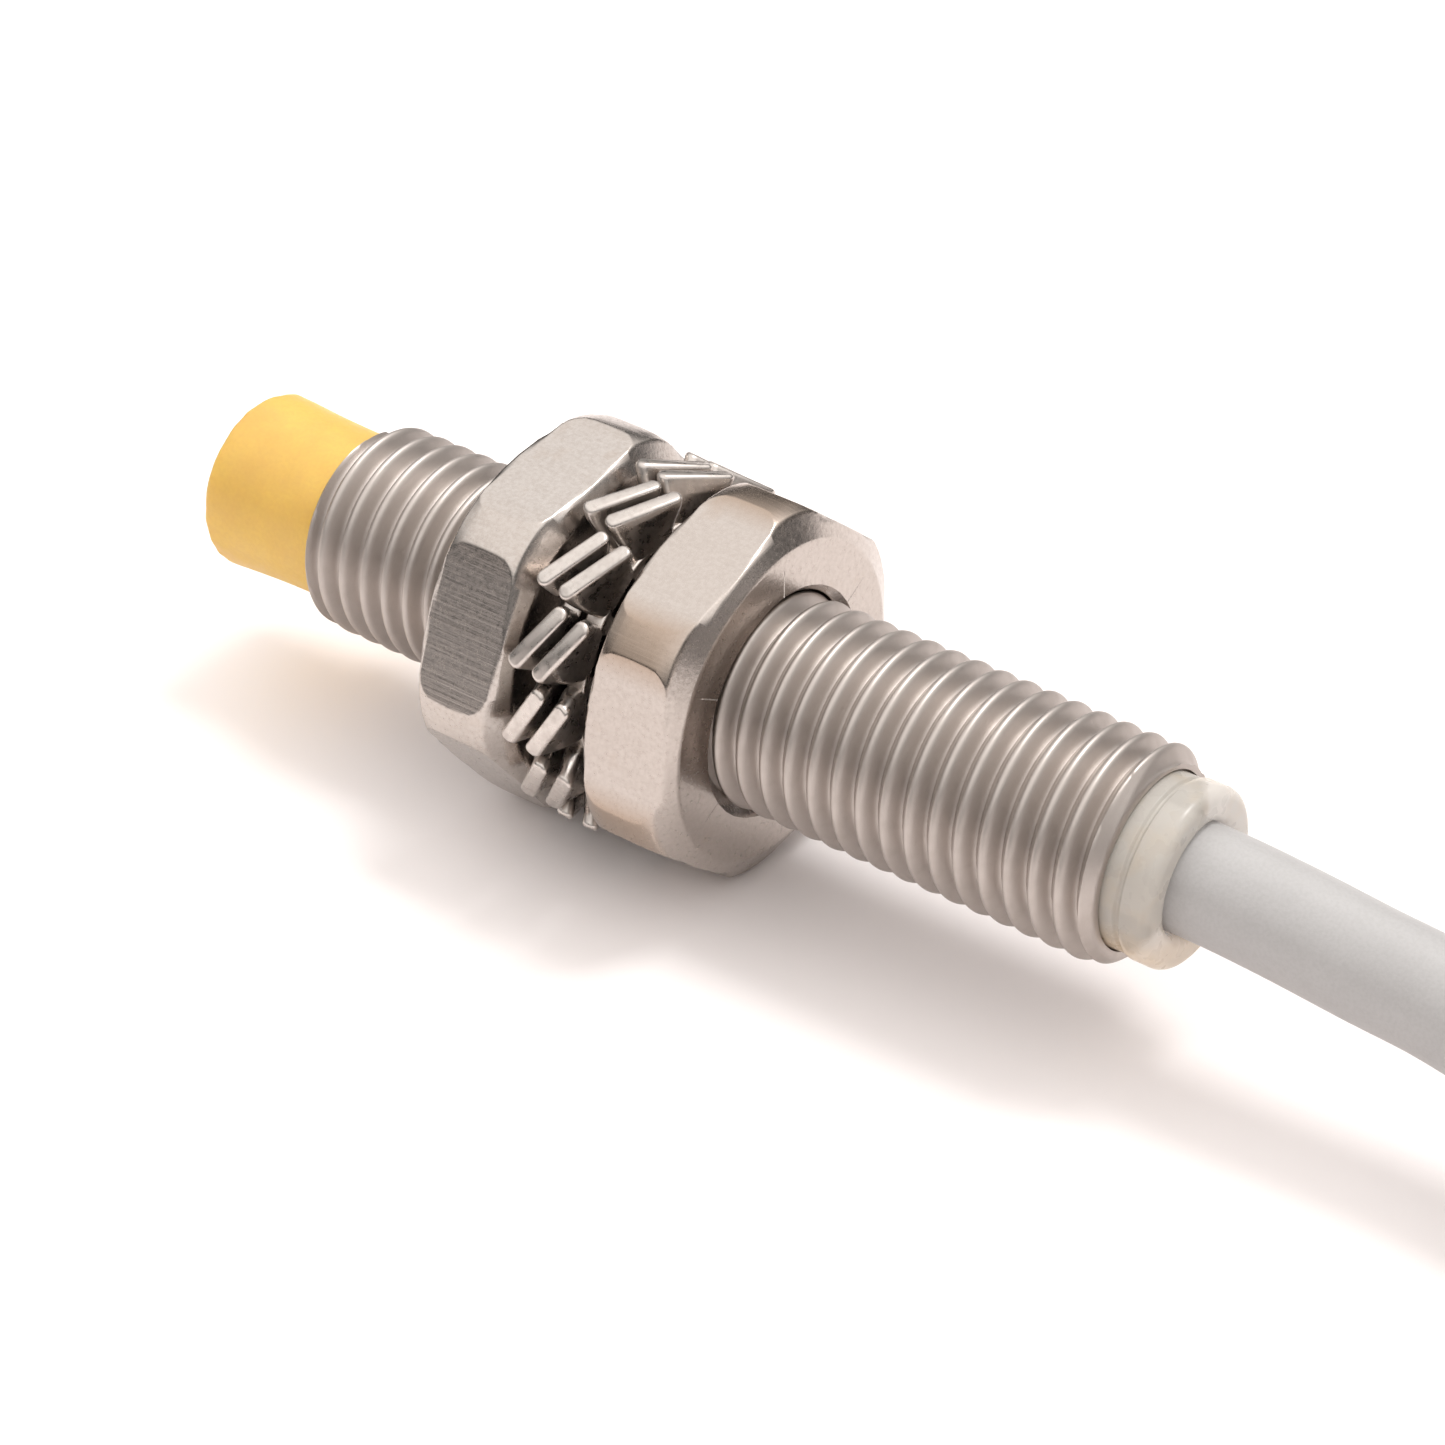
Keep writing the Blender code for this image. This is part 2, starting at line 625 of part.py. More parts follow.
WAIST_HALF = HANK_FOLD + HANK_COLUMN + CABLE_RADIUS - HANK_GATHER
TIE_INNER_HALF = WAIST_HALF - 0.6 * MM
TIE_INNER_TOP = HANK_TOP + 0.5 * MM


def tie_band(name, width, clearance, thickness, paint):
    """A band round the hank's waist, clearance nearer to it than the tie is, and this thick."""
    build = bmesh.new()
    rings = []
    for growth in (-clearance, thickness):
        half = TIE_INNER_HALF + growth
        low = TIE_THICKNESS + 0.05 * MM - growth
        high = TIE_INNER_TOP + growth
        corner = 1.5 * MM
        ring = []
        for y_side, z_side, start in ((1, 1, 0), (-1, 1, 90), (-1, -1, 180), (1, -1, 270)):
            for step in range(4):
                angle = math.radians(start + 30 * step)
                y = y_side * (half - corner) + corner * math.cos(angle)
                z = (high - corner if z_side > 0 else low + corner) + corner * math.sin(angle)
                ring.append((y, z))
        rings.append(ring)
    layers = []
    for side in (-1, 1):
        x = HANK_CENTRE.x + side * width / 2
        layers.append([[build.verts.new((x, y + HANK_CENTRE.y, z)) for y, z in ring] for ring in rings])
    count = len(rings[0])
    for i in range(count):
        j = (i + 1) % count
        (near_in, near_out), (far_in, far_out) = layers
        build.faces.new((near_in[i], near_in[j], near_out[j], near_out[i]))
        build.faces.new((far_in[i], far_in[j], far_out[j], far_out[i]))
        build.faces.new((near_in[i], near_in[j], far_in[j], far_in[i]))
        build.faces.new((near_out[i], near_out[j], far_out[j], far_out[i]))
    bmesh.ops.recalc_face_normals(build, faces=build.faces)
    return add_object(name, mesh_from(build), paint)


def make_tie():
    """The cable tie: its band, and the head on top of the hank that locks it."""
    tie = tie_band("hank_tie", TIE_WIDTH, 0.0, TIE_THICKNESS, TIE_NYLON)
    head = box("tie_head", TIE_HEAD, (0.0, 0.0, 0.0), None, rounding=0.4 * MM)
    head.location = HANK_CENTRE + Vector((0.0, 0.0, TIE_INNER_TOP + 0.2 * MM + TIE_HEAD.z / 2))
    boolean(tie, as_cutter(head), "UNION")


TAIL_HEIGHT = HANK_TOP + TOUCH_GAP + CABLE_RADIUS
LEAD_HEIGHT = HANK_TOP + TOUCH_GAP + CORE_RADIUS
# where the leads have got to along the hank, and how far apart they are there
LEAD_SPREADS = [(55.5, 1.3), (60.5, 1.5), (66.0, 1.8), (71.5, 2.2)]


def inner_column(x, side):
    """A point over the hank's near side, beside its inner column, where a lead lies."""
    return Vector((x, HANK_CENTRE.y - HANK_FOLD + HANK_GATHER * gather(x) + side, LEAD_HEIGHT))


def near_fold(degrees):
    """A point on top of the hank's near fold, over its inner column."""
    angle = math.radians(degrees)
    return Vector((HANK_CENTRE.x - HANK_STRAIGHT / 2 + HANK_FOLD * math.cos(angle),
                   HANK_CENTRE.y + HANK_FOLD * math.sin(angle), TAIL_HEIGHT))


def make_tail():
    """The cable's last stretch on top of the hank, and the three stripped and tinned cores."""
    route = smooth_route([near_fold(90 + 15 * step) for step in range(10)], 2 * CABLE_RADIUS * 0.6)
    tube("cable_tail", route, CABLE_RADIUS, JACKET)
    along = (route[-1] - route[-2]).normalized()
    across = Vector((-along.y, along.x, 0.0))
    end = route[-1]
    for name, side, paint in (("brown", -1, BROWN), ("blue", 0, BLUE), ("black", 1, BLACK)):
        begin = end + along * TOUCH_GAP + across * side * 1.15 * MM
        lead = [begin, begin + along * 2.5 * MM]
        lead[1].z = (TAIL_HEIGHT + LEAD_HEIGHT) / 2
        for x, spread in LEAD_SPREADS:
            lead.append(inner_column(x * MM, side * spread * MM))
        leg = smooth_route(lead, 1.6 * MM)
        tube("lead_" + name, leg, CORE_RADIUS, paint)
        onward = (leg[-1] - leg[-2]).normalized()
        tip = leg[-1] + onward * FIT_GAP
        tube("tinned_end_" + name, [tip, tip + onward * 2.5 * MM, tip + onward * 5 * MM], CORE_RADIUS * 0.6,
             TINNED)


make_barrel()
make_cap()
make_core_and_coil()
make_board()
make_potting()
make_end_cap()
make_inner_cores()
make_nut("front_nut", FRONT_NUT_X, FRONT_NUT_TURN)
make_nut("rear_nut", REAR_NUT_X, REAR_NUT_TURN)
make_washer("front_lock_washer", FRONT_WASHER_X, FRONT_WASHER_TURN)
make_washer("rear_lock_washer", REAR_WASHER_X, REAR_WASHER_TURN)
make_cable()
make_hank()
make_tie()
make_tail()
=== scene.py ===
"""Looks of the M8 x 1 inductive proximity sensor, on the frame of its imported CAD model.

The sensor's axis is the X axis at AXIS_HEIGHT, with the sensing face towards -X, and the table is z = 0.
An angle called "turn" is measured about +X by the right-hand rule, from straight up (+Z) towards -Y.
Lengths are in metres.
"""

import math

import bmesh
import bpy
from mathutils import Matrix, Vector, noise


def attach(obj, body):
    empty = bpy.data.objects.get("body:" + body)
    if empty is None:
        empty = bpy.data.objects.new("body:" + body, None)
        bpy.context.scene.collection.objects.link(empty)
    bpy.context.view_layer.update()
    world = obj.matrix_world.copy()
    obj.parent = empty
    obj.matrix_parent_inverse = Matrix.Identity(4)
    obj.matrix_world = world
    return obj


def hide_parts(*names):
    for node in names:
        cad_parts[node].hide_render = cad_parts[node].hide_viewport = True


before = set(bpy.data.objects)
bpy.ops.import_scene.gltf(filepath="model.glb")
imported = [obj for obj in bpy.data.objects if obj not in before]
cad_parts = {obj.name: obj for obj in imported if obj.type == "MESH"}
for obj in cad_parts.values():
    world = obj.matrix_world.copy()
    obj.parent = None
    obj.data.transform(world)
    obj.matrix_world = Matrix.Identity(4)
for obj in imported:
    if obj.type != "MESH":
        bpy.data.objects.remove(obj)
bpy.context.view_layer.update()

MM = 0.001
FULL_TURN = 2 * math.pi

# Sizes that the CAD model has too
AXIS_HEIGHT = 7.13 * MM
PITCH = 1.0 * MM
THREAD_RADIUS = 3.97 * MM
THREAD_ROOT = 3.40 * MM
THREAD_PHASE = 0.358 * MM
CREST_HALF = 0.10 * MM
RUNNING_FIT = 0.09 * MM
BARREL_FRONT = -15.395 * MM
BARREL_REAR = 18.845 * MM
BARREL_BORE = 3.10 * MM
FRONT_FACE_RADIUS = 3.63 * MM
REAR_FACE_RADIUS = 3.52 * MM
RECESS_RADIUS = 3.26 * MM
RECESS_DEPTH = 0.5 * MM
CAP_FRONT = -20.725 * MM
CAP_RADIUS = 3.22 * MM
NUT_THICKNESS = 4.0 * MM
NUT_FLATS = 13.0 * MM
NUT_CORNER_RADIUS = 7.15 * MM
NUT_FACE_RADIUS = 6.0 * MM
NUT_COUNTERSINK = 4.35 * MM
FRONT_NUT_X = -7.685 * MM
REAR_NUT_X = -0.385 * MM
FRONT_NUT_TURN = math.radians(-22.4)
REAR_NUT_TURN = math.radians(-10.4)
WASHER_BORE = 4.2 * MM
WASHER_ROOT = 5.2 * MM
WASHER_THICKNESS = 0.8 * MM
WASHER_TEETH = 14
FRONT_WASHER_X = -2.605 * MM
REAR_WASHER_X = -1.545 * MM
FRONT_WASHER_TURN = math.radians(9.0)
REAR_WASHER_TURN = math.radians(10.3)
END_CAP_END = 20.725 * MM
END_CAP_RADIUS = 3.27 * MM
NECK_RADIUS = 3.18 * MM
GROOVE_X = 19.425 * MM
GROOVE_RADIUS = 3.08 * MM
CABLE_RADIUS = 2.0 * MM
CORE_RADIUS = 0.5 * MM
HANK_X = 81.5 * MM
HANK_Y = 16.6 * MM
HANK_STRAIGHT = 50.0 * MM
HANK_FOLD = 12.2 * MM
HANK_COLUMN = 4.3 * MM
HANK_LAYERS = 5


# Camera

CAMERA_PLACE = (0.07805, -0.10173, 0.09535)
CAMERA_TILT = math.radians(54.74)
CAMERA_HEADING = math.radians(37.155)
CAMERA_LENS = 109.84


def make_camera():
    data = bpy.data.cameras.new("camera")
    data.sensor_width = 36.0
    data.lens = CAMERA_LENS
    data.clip_start = 0.005
    data.clip_end = 20.0
    camera = bpy.data.objects.new("camera", data)
    camera.location = CAMERA_PLACE
    camera.rotation_euler = (CAMERA_TILT, 0.0, CAMERA_HEADING)
    bpy.context.scene.collection.objects.link(camera)
    bpy.context.scene.camera = camera


# Small helpers for shapes

# The signs of both sides and the first angle in degrees, for each corner of a rounded rectangle
QUARTERS = ((1, 1, 0), (-1, 1, 90), (-1, -1, 180), (1, -1, 270))
WELD_DISTANCE = 0.0004 * MM
SLIVER_LENGTH = 0.0001 * MM


def smooth_step(value):
    """From 0 to 1, with a level start and end."""
    value = min(max(value, 0.0), 1.0)
    return value * value * (3 - 2 * value)


def hump(distance, reach):
    """1 where the distance is 0, falling smoothly to 0 at reach."""
    return 0.5 + 0.5 * math.cos(math.pi * min(abs(distance) / reach, 1.0))


def smooth_min(a, b, blend):
    """The smaller of two lengths, rounded off where they are within blend of each other."""
    near = max(blend - abs(a - b), 0.0) / blend
    return min(a, b) - near * near * blend / 4


def around(x, radius, turn):
    """The point at x, at this radius and turn about the sensor's axis."""
    return Vector((x, -radius * math.sin(turn), AXIS_HEIGHT + radius * math.cos(turn)))


def even_turns(count):
    return [FULL_TURN * step / count for step in range(count)]


def skin(build, columns, closing=None):
    """Faces between neighbouring columns of vertices, and from the last to the closing one."""
    ring = [*columns, closing or columns[0]]
    for here, there in zip(ring, ring[1:]):
        for a, b, c, d in zip(here, here[1:], there[1:], there):
            corners = list(dict.fromkeys((a, d, c, b)))
            if len(corners) > 2:
                build.faces.new(corners)


def finish_mesh(build, name, paint, body, sharp=40.0):
    """Weld a bmesh, make it an object with smooth shading and let it ride on a body."""
    bmesh.ops.remove_doubles(build, verts=build.verts, dist=WELD_DISTANCE)
    bmesh.ops.dissolve_degenerate(build, edges=build.edges, dist=SLIVER_LENGTH)
    bmesh.ops.recalc_face_normals(build, faces=build.faces)
    mesh = bpy.data.meshes.new(name)
    build.to_mesh(mesh)
    build.free()
    mesh.shade_smooth()
    mesh.set_sharp_from_angle(angle=math.radians(sharp))
    mesh.materials.append(paint)
    thing = bpy.data.objects.new(name, mesh)
    bpy.context.scene.collection.objects.link(thing)
    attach(thing, body)
    return thing


def rounded(points, radius, steps=4):
    """An open outline with each of its inner corners replaced by an arc."""
    result = [points[0]]
    for before, corner, after in zip(points, points[1:], points[2:]):
        back = (before - corner).normalized()
        onward = (after - corner).normalized()
        half = back.angle(onward) / 2
        cut = min(radius / math.tan(half), (before - corner).length * 0.45, (after - corner).length * 0.45)
        bend = cut * math.tan(half)
        centre = corner + (back + onward).normalized() * bend / math.sin(half)
        first = corner + back * cut - centre
        last = corner + onward * cut - centre
        for step in range(steps + 1):
            share = step / steps
            result.append(centre + (first * (1 - share) + last * share).normalized() * bend)
    result.append(points[-1])
    return result


def revolve(build, outline, count=128):
    """A turned surface from an outline of (x, radius) points."""
    columns = []
    for turn in even_turns(count):
        columns.append([build.verts.new(around(x, radius, turn)) for x, radius in outline])
    skin(build, columns)


# The cable: its free stretch, the hank and the end that lies on the hank

# Points in millimetres from inside the end cap down to the start of the hank
LEAD_IN = [
    (16.1, 0.0, 7.13),
    (18.5, 0.0, 7.16),
    (20.8, 0.0, 7.19),
    (23.5, 0.0, 7.07),
    (27.0, 0.0, 6.75),
    (30.5, 0.0, 6.42),
    (34.0, -0.40, 5.90),
    (37.5, -1.25, 5.08),
    (41.0, -2.30, 4.06),
    (44.5, -3.20, 3.02),
    (47.5, -3.80, 2.36),
    (50.5, -4.0, 2.05),
]
FOLD_LENGTH = math.pi * (HANK_FOLD + HANK_COLUMN / 2)
LOOP = 2 * HANK_STRAIGHT + 2 * FOLD_LENGTH
LOOPS = 2 * HANK_LAYERS
LAYER_STEP = 4.02 * MM
JOIN_LENGTH = 22.0 * MM
CHANGE_LENGTH = 25.0 * MM
CHANGE_LAG = 8.0 * MM
FIRST_CHANGE = LOOP + 4.0 * MM
TAIL_FOLDS = 1.75
TAIL_END = (LOOPS - 1) * LOOP + 2 * HANK_STRAIGHT + FOLD_LENGTH * TAIL_FOLDS
POINTS_PER_LOOP = 28
STEP_ALONG = LOOP / POINTS_PER_LOOP
WAIST_PULL = 10.1 * MM
WAIST_SQUEEZE = 0.06
NARROWEST_SHARE = 0.1
TIE_LIFT = 1.15 * MM
TIE_LIFT_REACH = 10 * MM
TIE_LIFT_LOSS = 0.14


def hank_slot(number):
    """(column offset, layer) of the hank's loops in the order they are wound, up through the layers."""
    layer = number // 2
    if number == LOOPS:
        return 0.0, float(HANK_LAYERS)
    outer_first = layer % 2 == 0
    outer = (number % 2 == 0) == outer_first
    return (HANK_COLUMN if outer else 0.0), float(layer)


def waist(x):
    """How near x is to the hank's tied waist, from 0 at the folds to 1."""
    return hump(x - HANK_X, HANK_STRAIGHT / 2)


def hank_point(travelled):
    """The cable's centre after this distance round the hank, measured along its middle loop."""
    offset, layer = hank_slot(0)
    for number in range(LOOPS):
        change_at = FIRST_CHANGE + number * (LOOP - CHANGE_LAG)
        share = smooth_step((travelled - change_at) / CHANGE_LENGTH + 0.5)
        if share > 0:
            start, end = hank_slot(number), hank_slot(number + 1)
            offset = start[0] + (end[0] - start[0]) * share
            layer = start[1] + (end[1] - start[1]) * share
    offset += HANK_COLUMN * (1 - smooth_step(travelled / JOIN_LENGTH))

    place = travelled % LOOP
    half = HANK_STRAIGHT / 2
    radius = HANK_FOLD + offset
    if place < HANK_STRAIGHT:
        x, y = place - half, -radius
    elif place < HANK_STRAIGHT + FOLD_LENGTH:
        angle = math.pi * (place - HANK_STRAIGHT) / FOLD_LENGTH - math.pi / 2
        x, y = half + radius * math.cos(angle), radius * math.sin(angle)
    elif place < 2 * HANK_STRAIGHT + FOLD_LENGTH:
        x, y = half - (place - HANK_STRAIGHT - FOLD_LENGTH), radius
    else:
        angle = math.pi * (place - 2 * HANK_STRAIGHT - FOLD_LENGTH) / FOLD_LENGTH + math.pi / 2
        x, y = radius * math.cos(angle) - half, radius * math.sin(angle)
    near = waist(x + HANK_X)
    narrowed = max(abs(y) - WAIST_PULL * near - offset * WAIST_SQUEEZE * near, abs(y) * NARROWEST_SHARE)
    tie_lift = TIE_LIFT * hump(x, TIE_LIFT_REACH)
    height = CABLE_RADIUS + layer * LAYER_STEP + tie_lift * (1 - TIE_LIFT_LOSS * layer)
    return Vector((HANK_X + x, HANK_Y + math.copysign(narrowed, y), height))


def cable_points():
    """The middle of the whole cable, from inside the end cap to its bare end."""
    points = [Vector(point) * MM for point in LEAD_IN]
    steps = round(TAIL_END / STEP_ALONG)
    points += [hank_point(TAIL_END * step / steps) for step in range(steps + 1)]
    return points


def smooth_curve(name, splines, radius, paint, body="sensor", sides=8):
    """A round tube along one or more smooth splines, which rides on a body."""
    data = bpy.data.curves.new(name, "CURVE")
    data.dimensions = "3D"
    data.bevel_depth = radius
    data.bevel_resolution = sides
    data.resolution_u = 8
    data.use_fill_caps = True
    for points in splines:
        spline = data.splines.new("BEZIER")
        spline.bezier_points.add(len(points) - 1)
        for knot, point in zip(spline.bezier_points, points):
            knot.co = point
            knot.handle_left_type = "AUTO"
            knot.handle_right_type = "AUTO"
    data.materials.append(paint)
    thing = bpy.data.objects.new(name, data)
    bpy.context.scene.collection.objects.link(thing)
    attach(thing, body)
    return thing


# Materials

class Paint:
    """A principled material, with short calls that wire up its texture nodes.

    Texture scales are features per metre, in the object's own space.
    """

    def __init__(self, name, colour, roughness, metallic=0.0):
        self.material = bpy.data.materials.new(name)
        self.material.use_nodes = True
        self.tree = self.material.node_tree
        self.shader = self.tree.nodes["Principled BSDF"]
        self.set("Base Color", (*colour, 1.0))
        self.set("Roughness", roughness)
        self.set("Metallic", metallic)

    def set(self, socket, value):
        self.shader.inputs[socket].default_value = value

    def soften(self, weight, radius, scale):
        """Let light spread under the surface."""
        self.set("Subsurface Weight", weight)
        self.set("Subsurface Radius", radius)
        self.set("Subsurface Scale", scale)

    def link(self, output, socket):
        self.tree.links.new(output, socket)

    def place(self, stretch=(1.0, 1.0, 1.0), turn=(0.0, 0.0, 0.0)):
        """Object coordinates, turned and then stretched."""
        where = self.tree.nodes.new("ShaderNodeTexCoord")
        turned = self.tree.nodes.new("ShaderNodeMapping")
        turned.inputs["Rotation"].default_value = turn
        turned.inputs["Scale"].default_value = stretch
        self.link(where.outputs["Object"], turned.inputs["Vector"])
        return turned.outputs["Vector"]

    def noise(self, scale, detail=3.0, roughness=0.5, **placing):
        node = self.tree.nodes.new("ShaderNodeTexNoise")
        node.inputs["Scale"].default_value = scale
        node.inputs["Detail"].default_value = detail
        node.inputs["Roughness"].default_value = roughness
        self.link(self.place(**placing), node.inputs["Vector"])
        return node.outputs["Fac"]

    def cells(self, scale):
        node = self.tree.nodes.new("ShaderNodeTexVoronoi")
        node.inputs["Scale"].default_value = scale
        self.link(self.place(), node.inputs["Vector"])
        return node.outputs["Distance"]

    def distance(self, height, axes):
        """The distance from the point at this height on the Z axis, along only the axes that are 1."""
        where = self.tree.nodes.new("ShaderNodeTexCoord")
        centred = self.tree.nodes.new("ShaderNodeMapping")
        centred.inputs["Location"].default_value = (0.0, 0.0, -height)
        centred.inputs["Scale"].default_value = axes
        distance = self.tree.nodes.new("ShaderNodeVectorMath")
        distance.operation = "LENGTH"
        self.link(where.outputs["Object"], centred.inputs["Vector"])
        self.link(centred.outputs["Vector"], distance.inputs[0])
        return distance.outputs["Value"]

    def between(self, value, low, high, to_low=0.0, to_high=1.0):
        """The value mapped from low..high to to_low..to_high, and held there."""
        node = self.tree.nodes.new("ShaderNodeMapRange")
        self.link(value, node.inputs["Value"])
        settings = {"From Min": low, "From Max": high, "To Min": to_low, "To Max": to_high}
        for socket, number in settings.items():
            node.inputs[socket].default_value = number
        return node.outputs["Result"]

    def tint(self, factor, colour):
        """Mix the colour so far towards another one by a factor."""
        base = self.shader.inputs["Base Color"]
        node = self.tree.nodes.new("ShaderNodeMix")
        node.data_type = "RGBA"
        # these are the colour sockets A, B and Result of a mix node that mixes colours
        first, second, mixed = node.inputs[6], node.inputs[7], node.outputs[2]
        if base.is_linked:
            self.link(base.links[0].from_socket, first)
        else:
            first.default_value = base.default_value
        second.default_value = (*colour, 1.0)
        self.link(factor, node.inputs[0])
        self.link(mixed, base)

    def roughen(self, value, low, high, rough_low, rough_high):
        self.link(self.between(value, low, high, rough_low, rough_high), self.shader.inputs["Roughness"])

    def bump(self, height, depth):
        """Raise the surface by depth metres where height is 1, on top of the bumps so far."""
        node = self.tree.nodes.new("ShaderNodeBump")
        node.inputs["Distance"].default_value = depth
        self.link(height, node.inputs["Height"])
        normal = self.shader.inputs["Normal"]
        if normal.is_linked:
            self.link(normal.links[0].from_socket, node.inputs["Normal"])
        self.link(node.outputs["Normal"], normal)


def thread_metal():
    """Nickel-plated steel off a lathe: rings round X, fine grain and a few nicks."""
    paint = Paint("barrel_plating", (0.475, 0.43, 0.40), 0.4, 1.0)
    rings = paint.noise(9000, 2.0, stretch=(1.0, 0.04, 0.04))
    grain = paint.noise(22000, 2.0)
    wear = paint.noise(1800, 3.0, 0.55)
    nicks = paint.cells(1100)
    paint.tint(paint.between(wear, 0.5, 0.75, 0.0, 0.3), (0.42, 0.37, 0.335))
    paint.roughen(wear, 0.3, 0.7, 0.4, 0.5)
    paint.bump(rings, 0.003 * MM)
    paint.bump(grain, 0.003 * MM)
    paint.bump(paint.between(nicks, 0.0, 0.1), 0.006 * MM)
    return paint.material


def nut_metal(name, colour, corner_wear):
    """Plated nut stock: finely mottled, with draw marks nearly along X and brown wear at the corners."""
    paint = Paint(name, colour, 0.22, 1.0)
    mottle = paint.noise(6000, 3.0, 0.6)
    stains = paint.noise(620, 3.0, 0.55)
    drawn = paint.noise(7500, 2.0, 0.5, stretch=(0.04, 1.0, 1.0), turn=(0.0, 0.12, 0.1))
    off_axis = paint.distance(AXIS_HEIGHT, (0.0, 1.0, 1.0))
    paint.tint(paint.between(mottle, 0.4, 0.65, 0.0, 0.45), (0.42, 0.37, 0.335))
    paint.tint(paint.between(drawn, 0.5, 0.72, 0.0, 0.22), (0.42, 0.37, 0.335))
    paint.tint(paint.between(stains, 0.62, 0.78, 0.0, 0.25), (0.4, 0.3, 0.225))
    paint.tint(paint.between(off_axis, 6.8 * MM, NUT_CORNER_RADIUS, 0.0, corner_wear), (0.34, 0.245, 0.175))
    paint.roughen(mottle, 0.3, 0.7, 0.19, 0.29)
    paint.bump(drawn, 0.0035 * MM)
    return paint.material


def washer_metal():
    """Bright spring steel, duller in patches of wear and finely mottled from punching."""
    paint = Paint("washer_plating", (0.58, 0.535, 0.5), 0.3, 1.0)
    wear = paint.noise(2600, 2.0, 0.5)
    punched = paint.noise(6000, 1.0, 0.5)
    paint.tint(paint.between(wear, 0.5, 0.75, 0.0, 0.4), (0.42, 0.37, 0.34))
    paint.roughen(wear, 0.35, 0.7, 0.24, 0.42)
    paint.tint(paint.between(punched, 0.5, 0.7, 0.0, 0.3), (0.42, 0.37, 0.34))
    paint.bump(wear, 0.004 * MM)
    return paint.material


def cap_plastic():
    """Yellow moulded plastic, a little worn and darker in patches."""
    paint = Paint("sensing_cap_yellow", (0.73, 0.47, 0.1), 0.45)
    paint.soften(0.3, (1.0, 0.55, 0.15), 0.6 * MM)
    patches = paint.noise(380, 4.0, 0.6)
    grain = paint.noise(6500, 3.0, 0.5)
    dents = paint.noise(1100, 3.0, 0.6)
    paint.tint(paint.between(patches, 0.45, 0.7, 0.0, 0.45), (0.6, 0.34, 0.09))
    paint.tint(paint.between(grain, 0.4, 0.65, 0.0, 0.25), (0.62, 0.36, 0.09))
    paint.roughen(dents, 0.3, 0.7, 0.38, 0.55)
    paint.bump(grain, 0.006 * MM)
    paint.bump(dents, 0.012 * MM)
    return paint.material


def end_cap_plastic():
    """Cloudy plastic that the cable shows through a little, more amber towards its bottom."""
    paint = Paint("end_cap_cloudy", (0.66, 0.62, 0.565), 0.3)
    paint.set("Alpha", 0.6)
    cloud = paint.noise(900, 3.0, 0.5)
    scuffs = paint.noise(1500, 2.0, 0.5)
    height = paint.distance(0.0, (0.0, 0.0, 1.0))
    # more amber towards the bottom of the end cap, set by height alone
    underside = paint.between(height, AXIS_HEIGHT - 1.8 * MM, AXIS_HEIGHT - 0.4 * MM, 0.8, 0.0)
    paint.tint(underside, (0.78, 0.62, 0.43))
    paint.tint(paint.between(cloud, 0.5, 0.7, 0.0, 0.3), (0.72, 0.57, 0.39))
    paint.roughen(scuffs, 0.35, 0.7, 0.24, 0.4)
    paint.bump(scuffs, 0.0015 * MM)
    return paint.material


def jacket_plastic():
    """Matt grey PVC with a fine grain."""
    paint = Paint("cable_jacket_grey", (0.44, 0.43, 0.425), 0.5)
    paint.soften(0.1, (1.0, 1.0, 1.0), 0.4 * MM)
    cloud = paint.noise(500, 3.0, 0.5)
    grain = paint.noise(8000, 3.0, 0.6)
    scuffs = paint.noise(1900, 3.0, 0.6, stretch=(0.3, 1.0, 1.0))
    paint.tint(paint.between(cloud, 0.4, 0.7, 0.0, 0.25), (0.385, 0.375, 0.37))
    paint.tint(paint.between(grain, 0.4, 0.65, 0.0, 0.35), (0.36, 0.345, 0.34))
    paint.roughen(scuffs, 0.35, 0.7, 0.42, 0.58)
    paint.bump(grain, 0.007 * MM)
    paint.bump(scuffs, 0.006 * MM)
    return paint.material


def tie_plastic():
    """Natural nylon: off-white, waxy and a little cloudy."""
    paint = Paint("tie_nylon_natural", (0.76, 0.74, 0.68), 0.38)
    paint.soften(0.3, (1.0, 0.9, 0.7), 0.8 * MM)
    cloud = paint.noise(700, 3.0)
    grain = paint.noise(6000, 3.0)
    paint.tint(paint.between(cloud, 0.4, 0.7, 0.0, 0.4), (0.7, 0.67, 0.59))
    paint.roughen(grain, 0.3, 0.7, 0.32, 0.46)
    paint.bump(grain, 0.004 * MM)
    return paint.material


def grained_plastic(name, colour, roughness, grain_scale=5000, darker=0.85):
    """Plain moulded plastic, resin or ceramic with a fine grain and patches that are a little darker."""
    paint = Paint(name, colour, roughness)
    grain = paint.noise(grain_scale, 3.0)
    tone = paint.noise(600, 3.0)
    paint.tint(paint.between(tone, 0.4, 0.7), tuple(channel * darker for channel in colour))
    paint.roughen(grain, 0.3, 0.7, roughness - 0.06, roughness + 0.08)
    paint.bump(grain, 0.005 * MM)
    return paint.material


def drawn_metal(name, colour, roughness, stretch=(0.1, 1.0, 1.0)):
    """Copper or tinned wire with fine draw marks."""
    paint = Paint(name, colour, roughness, 1.0)
    marks = paint.noise(9000, 3.0, stretch=stretch)
    tone = paint.noise(900, 3.0)
    paint.tint(paint.between(tone, 0.4, 0.7), tuple(channel * 0.75 for channel in colour))
    paint.roughen(marks, 0.3, 0.7, roughness - 0.08, roughness + 0.1)
    paint.bump(marks, 0.003 * MM)
    return paint.material


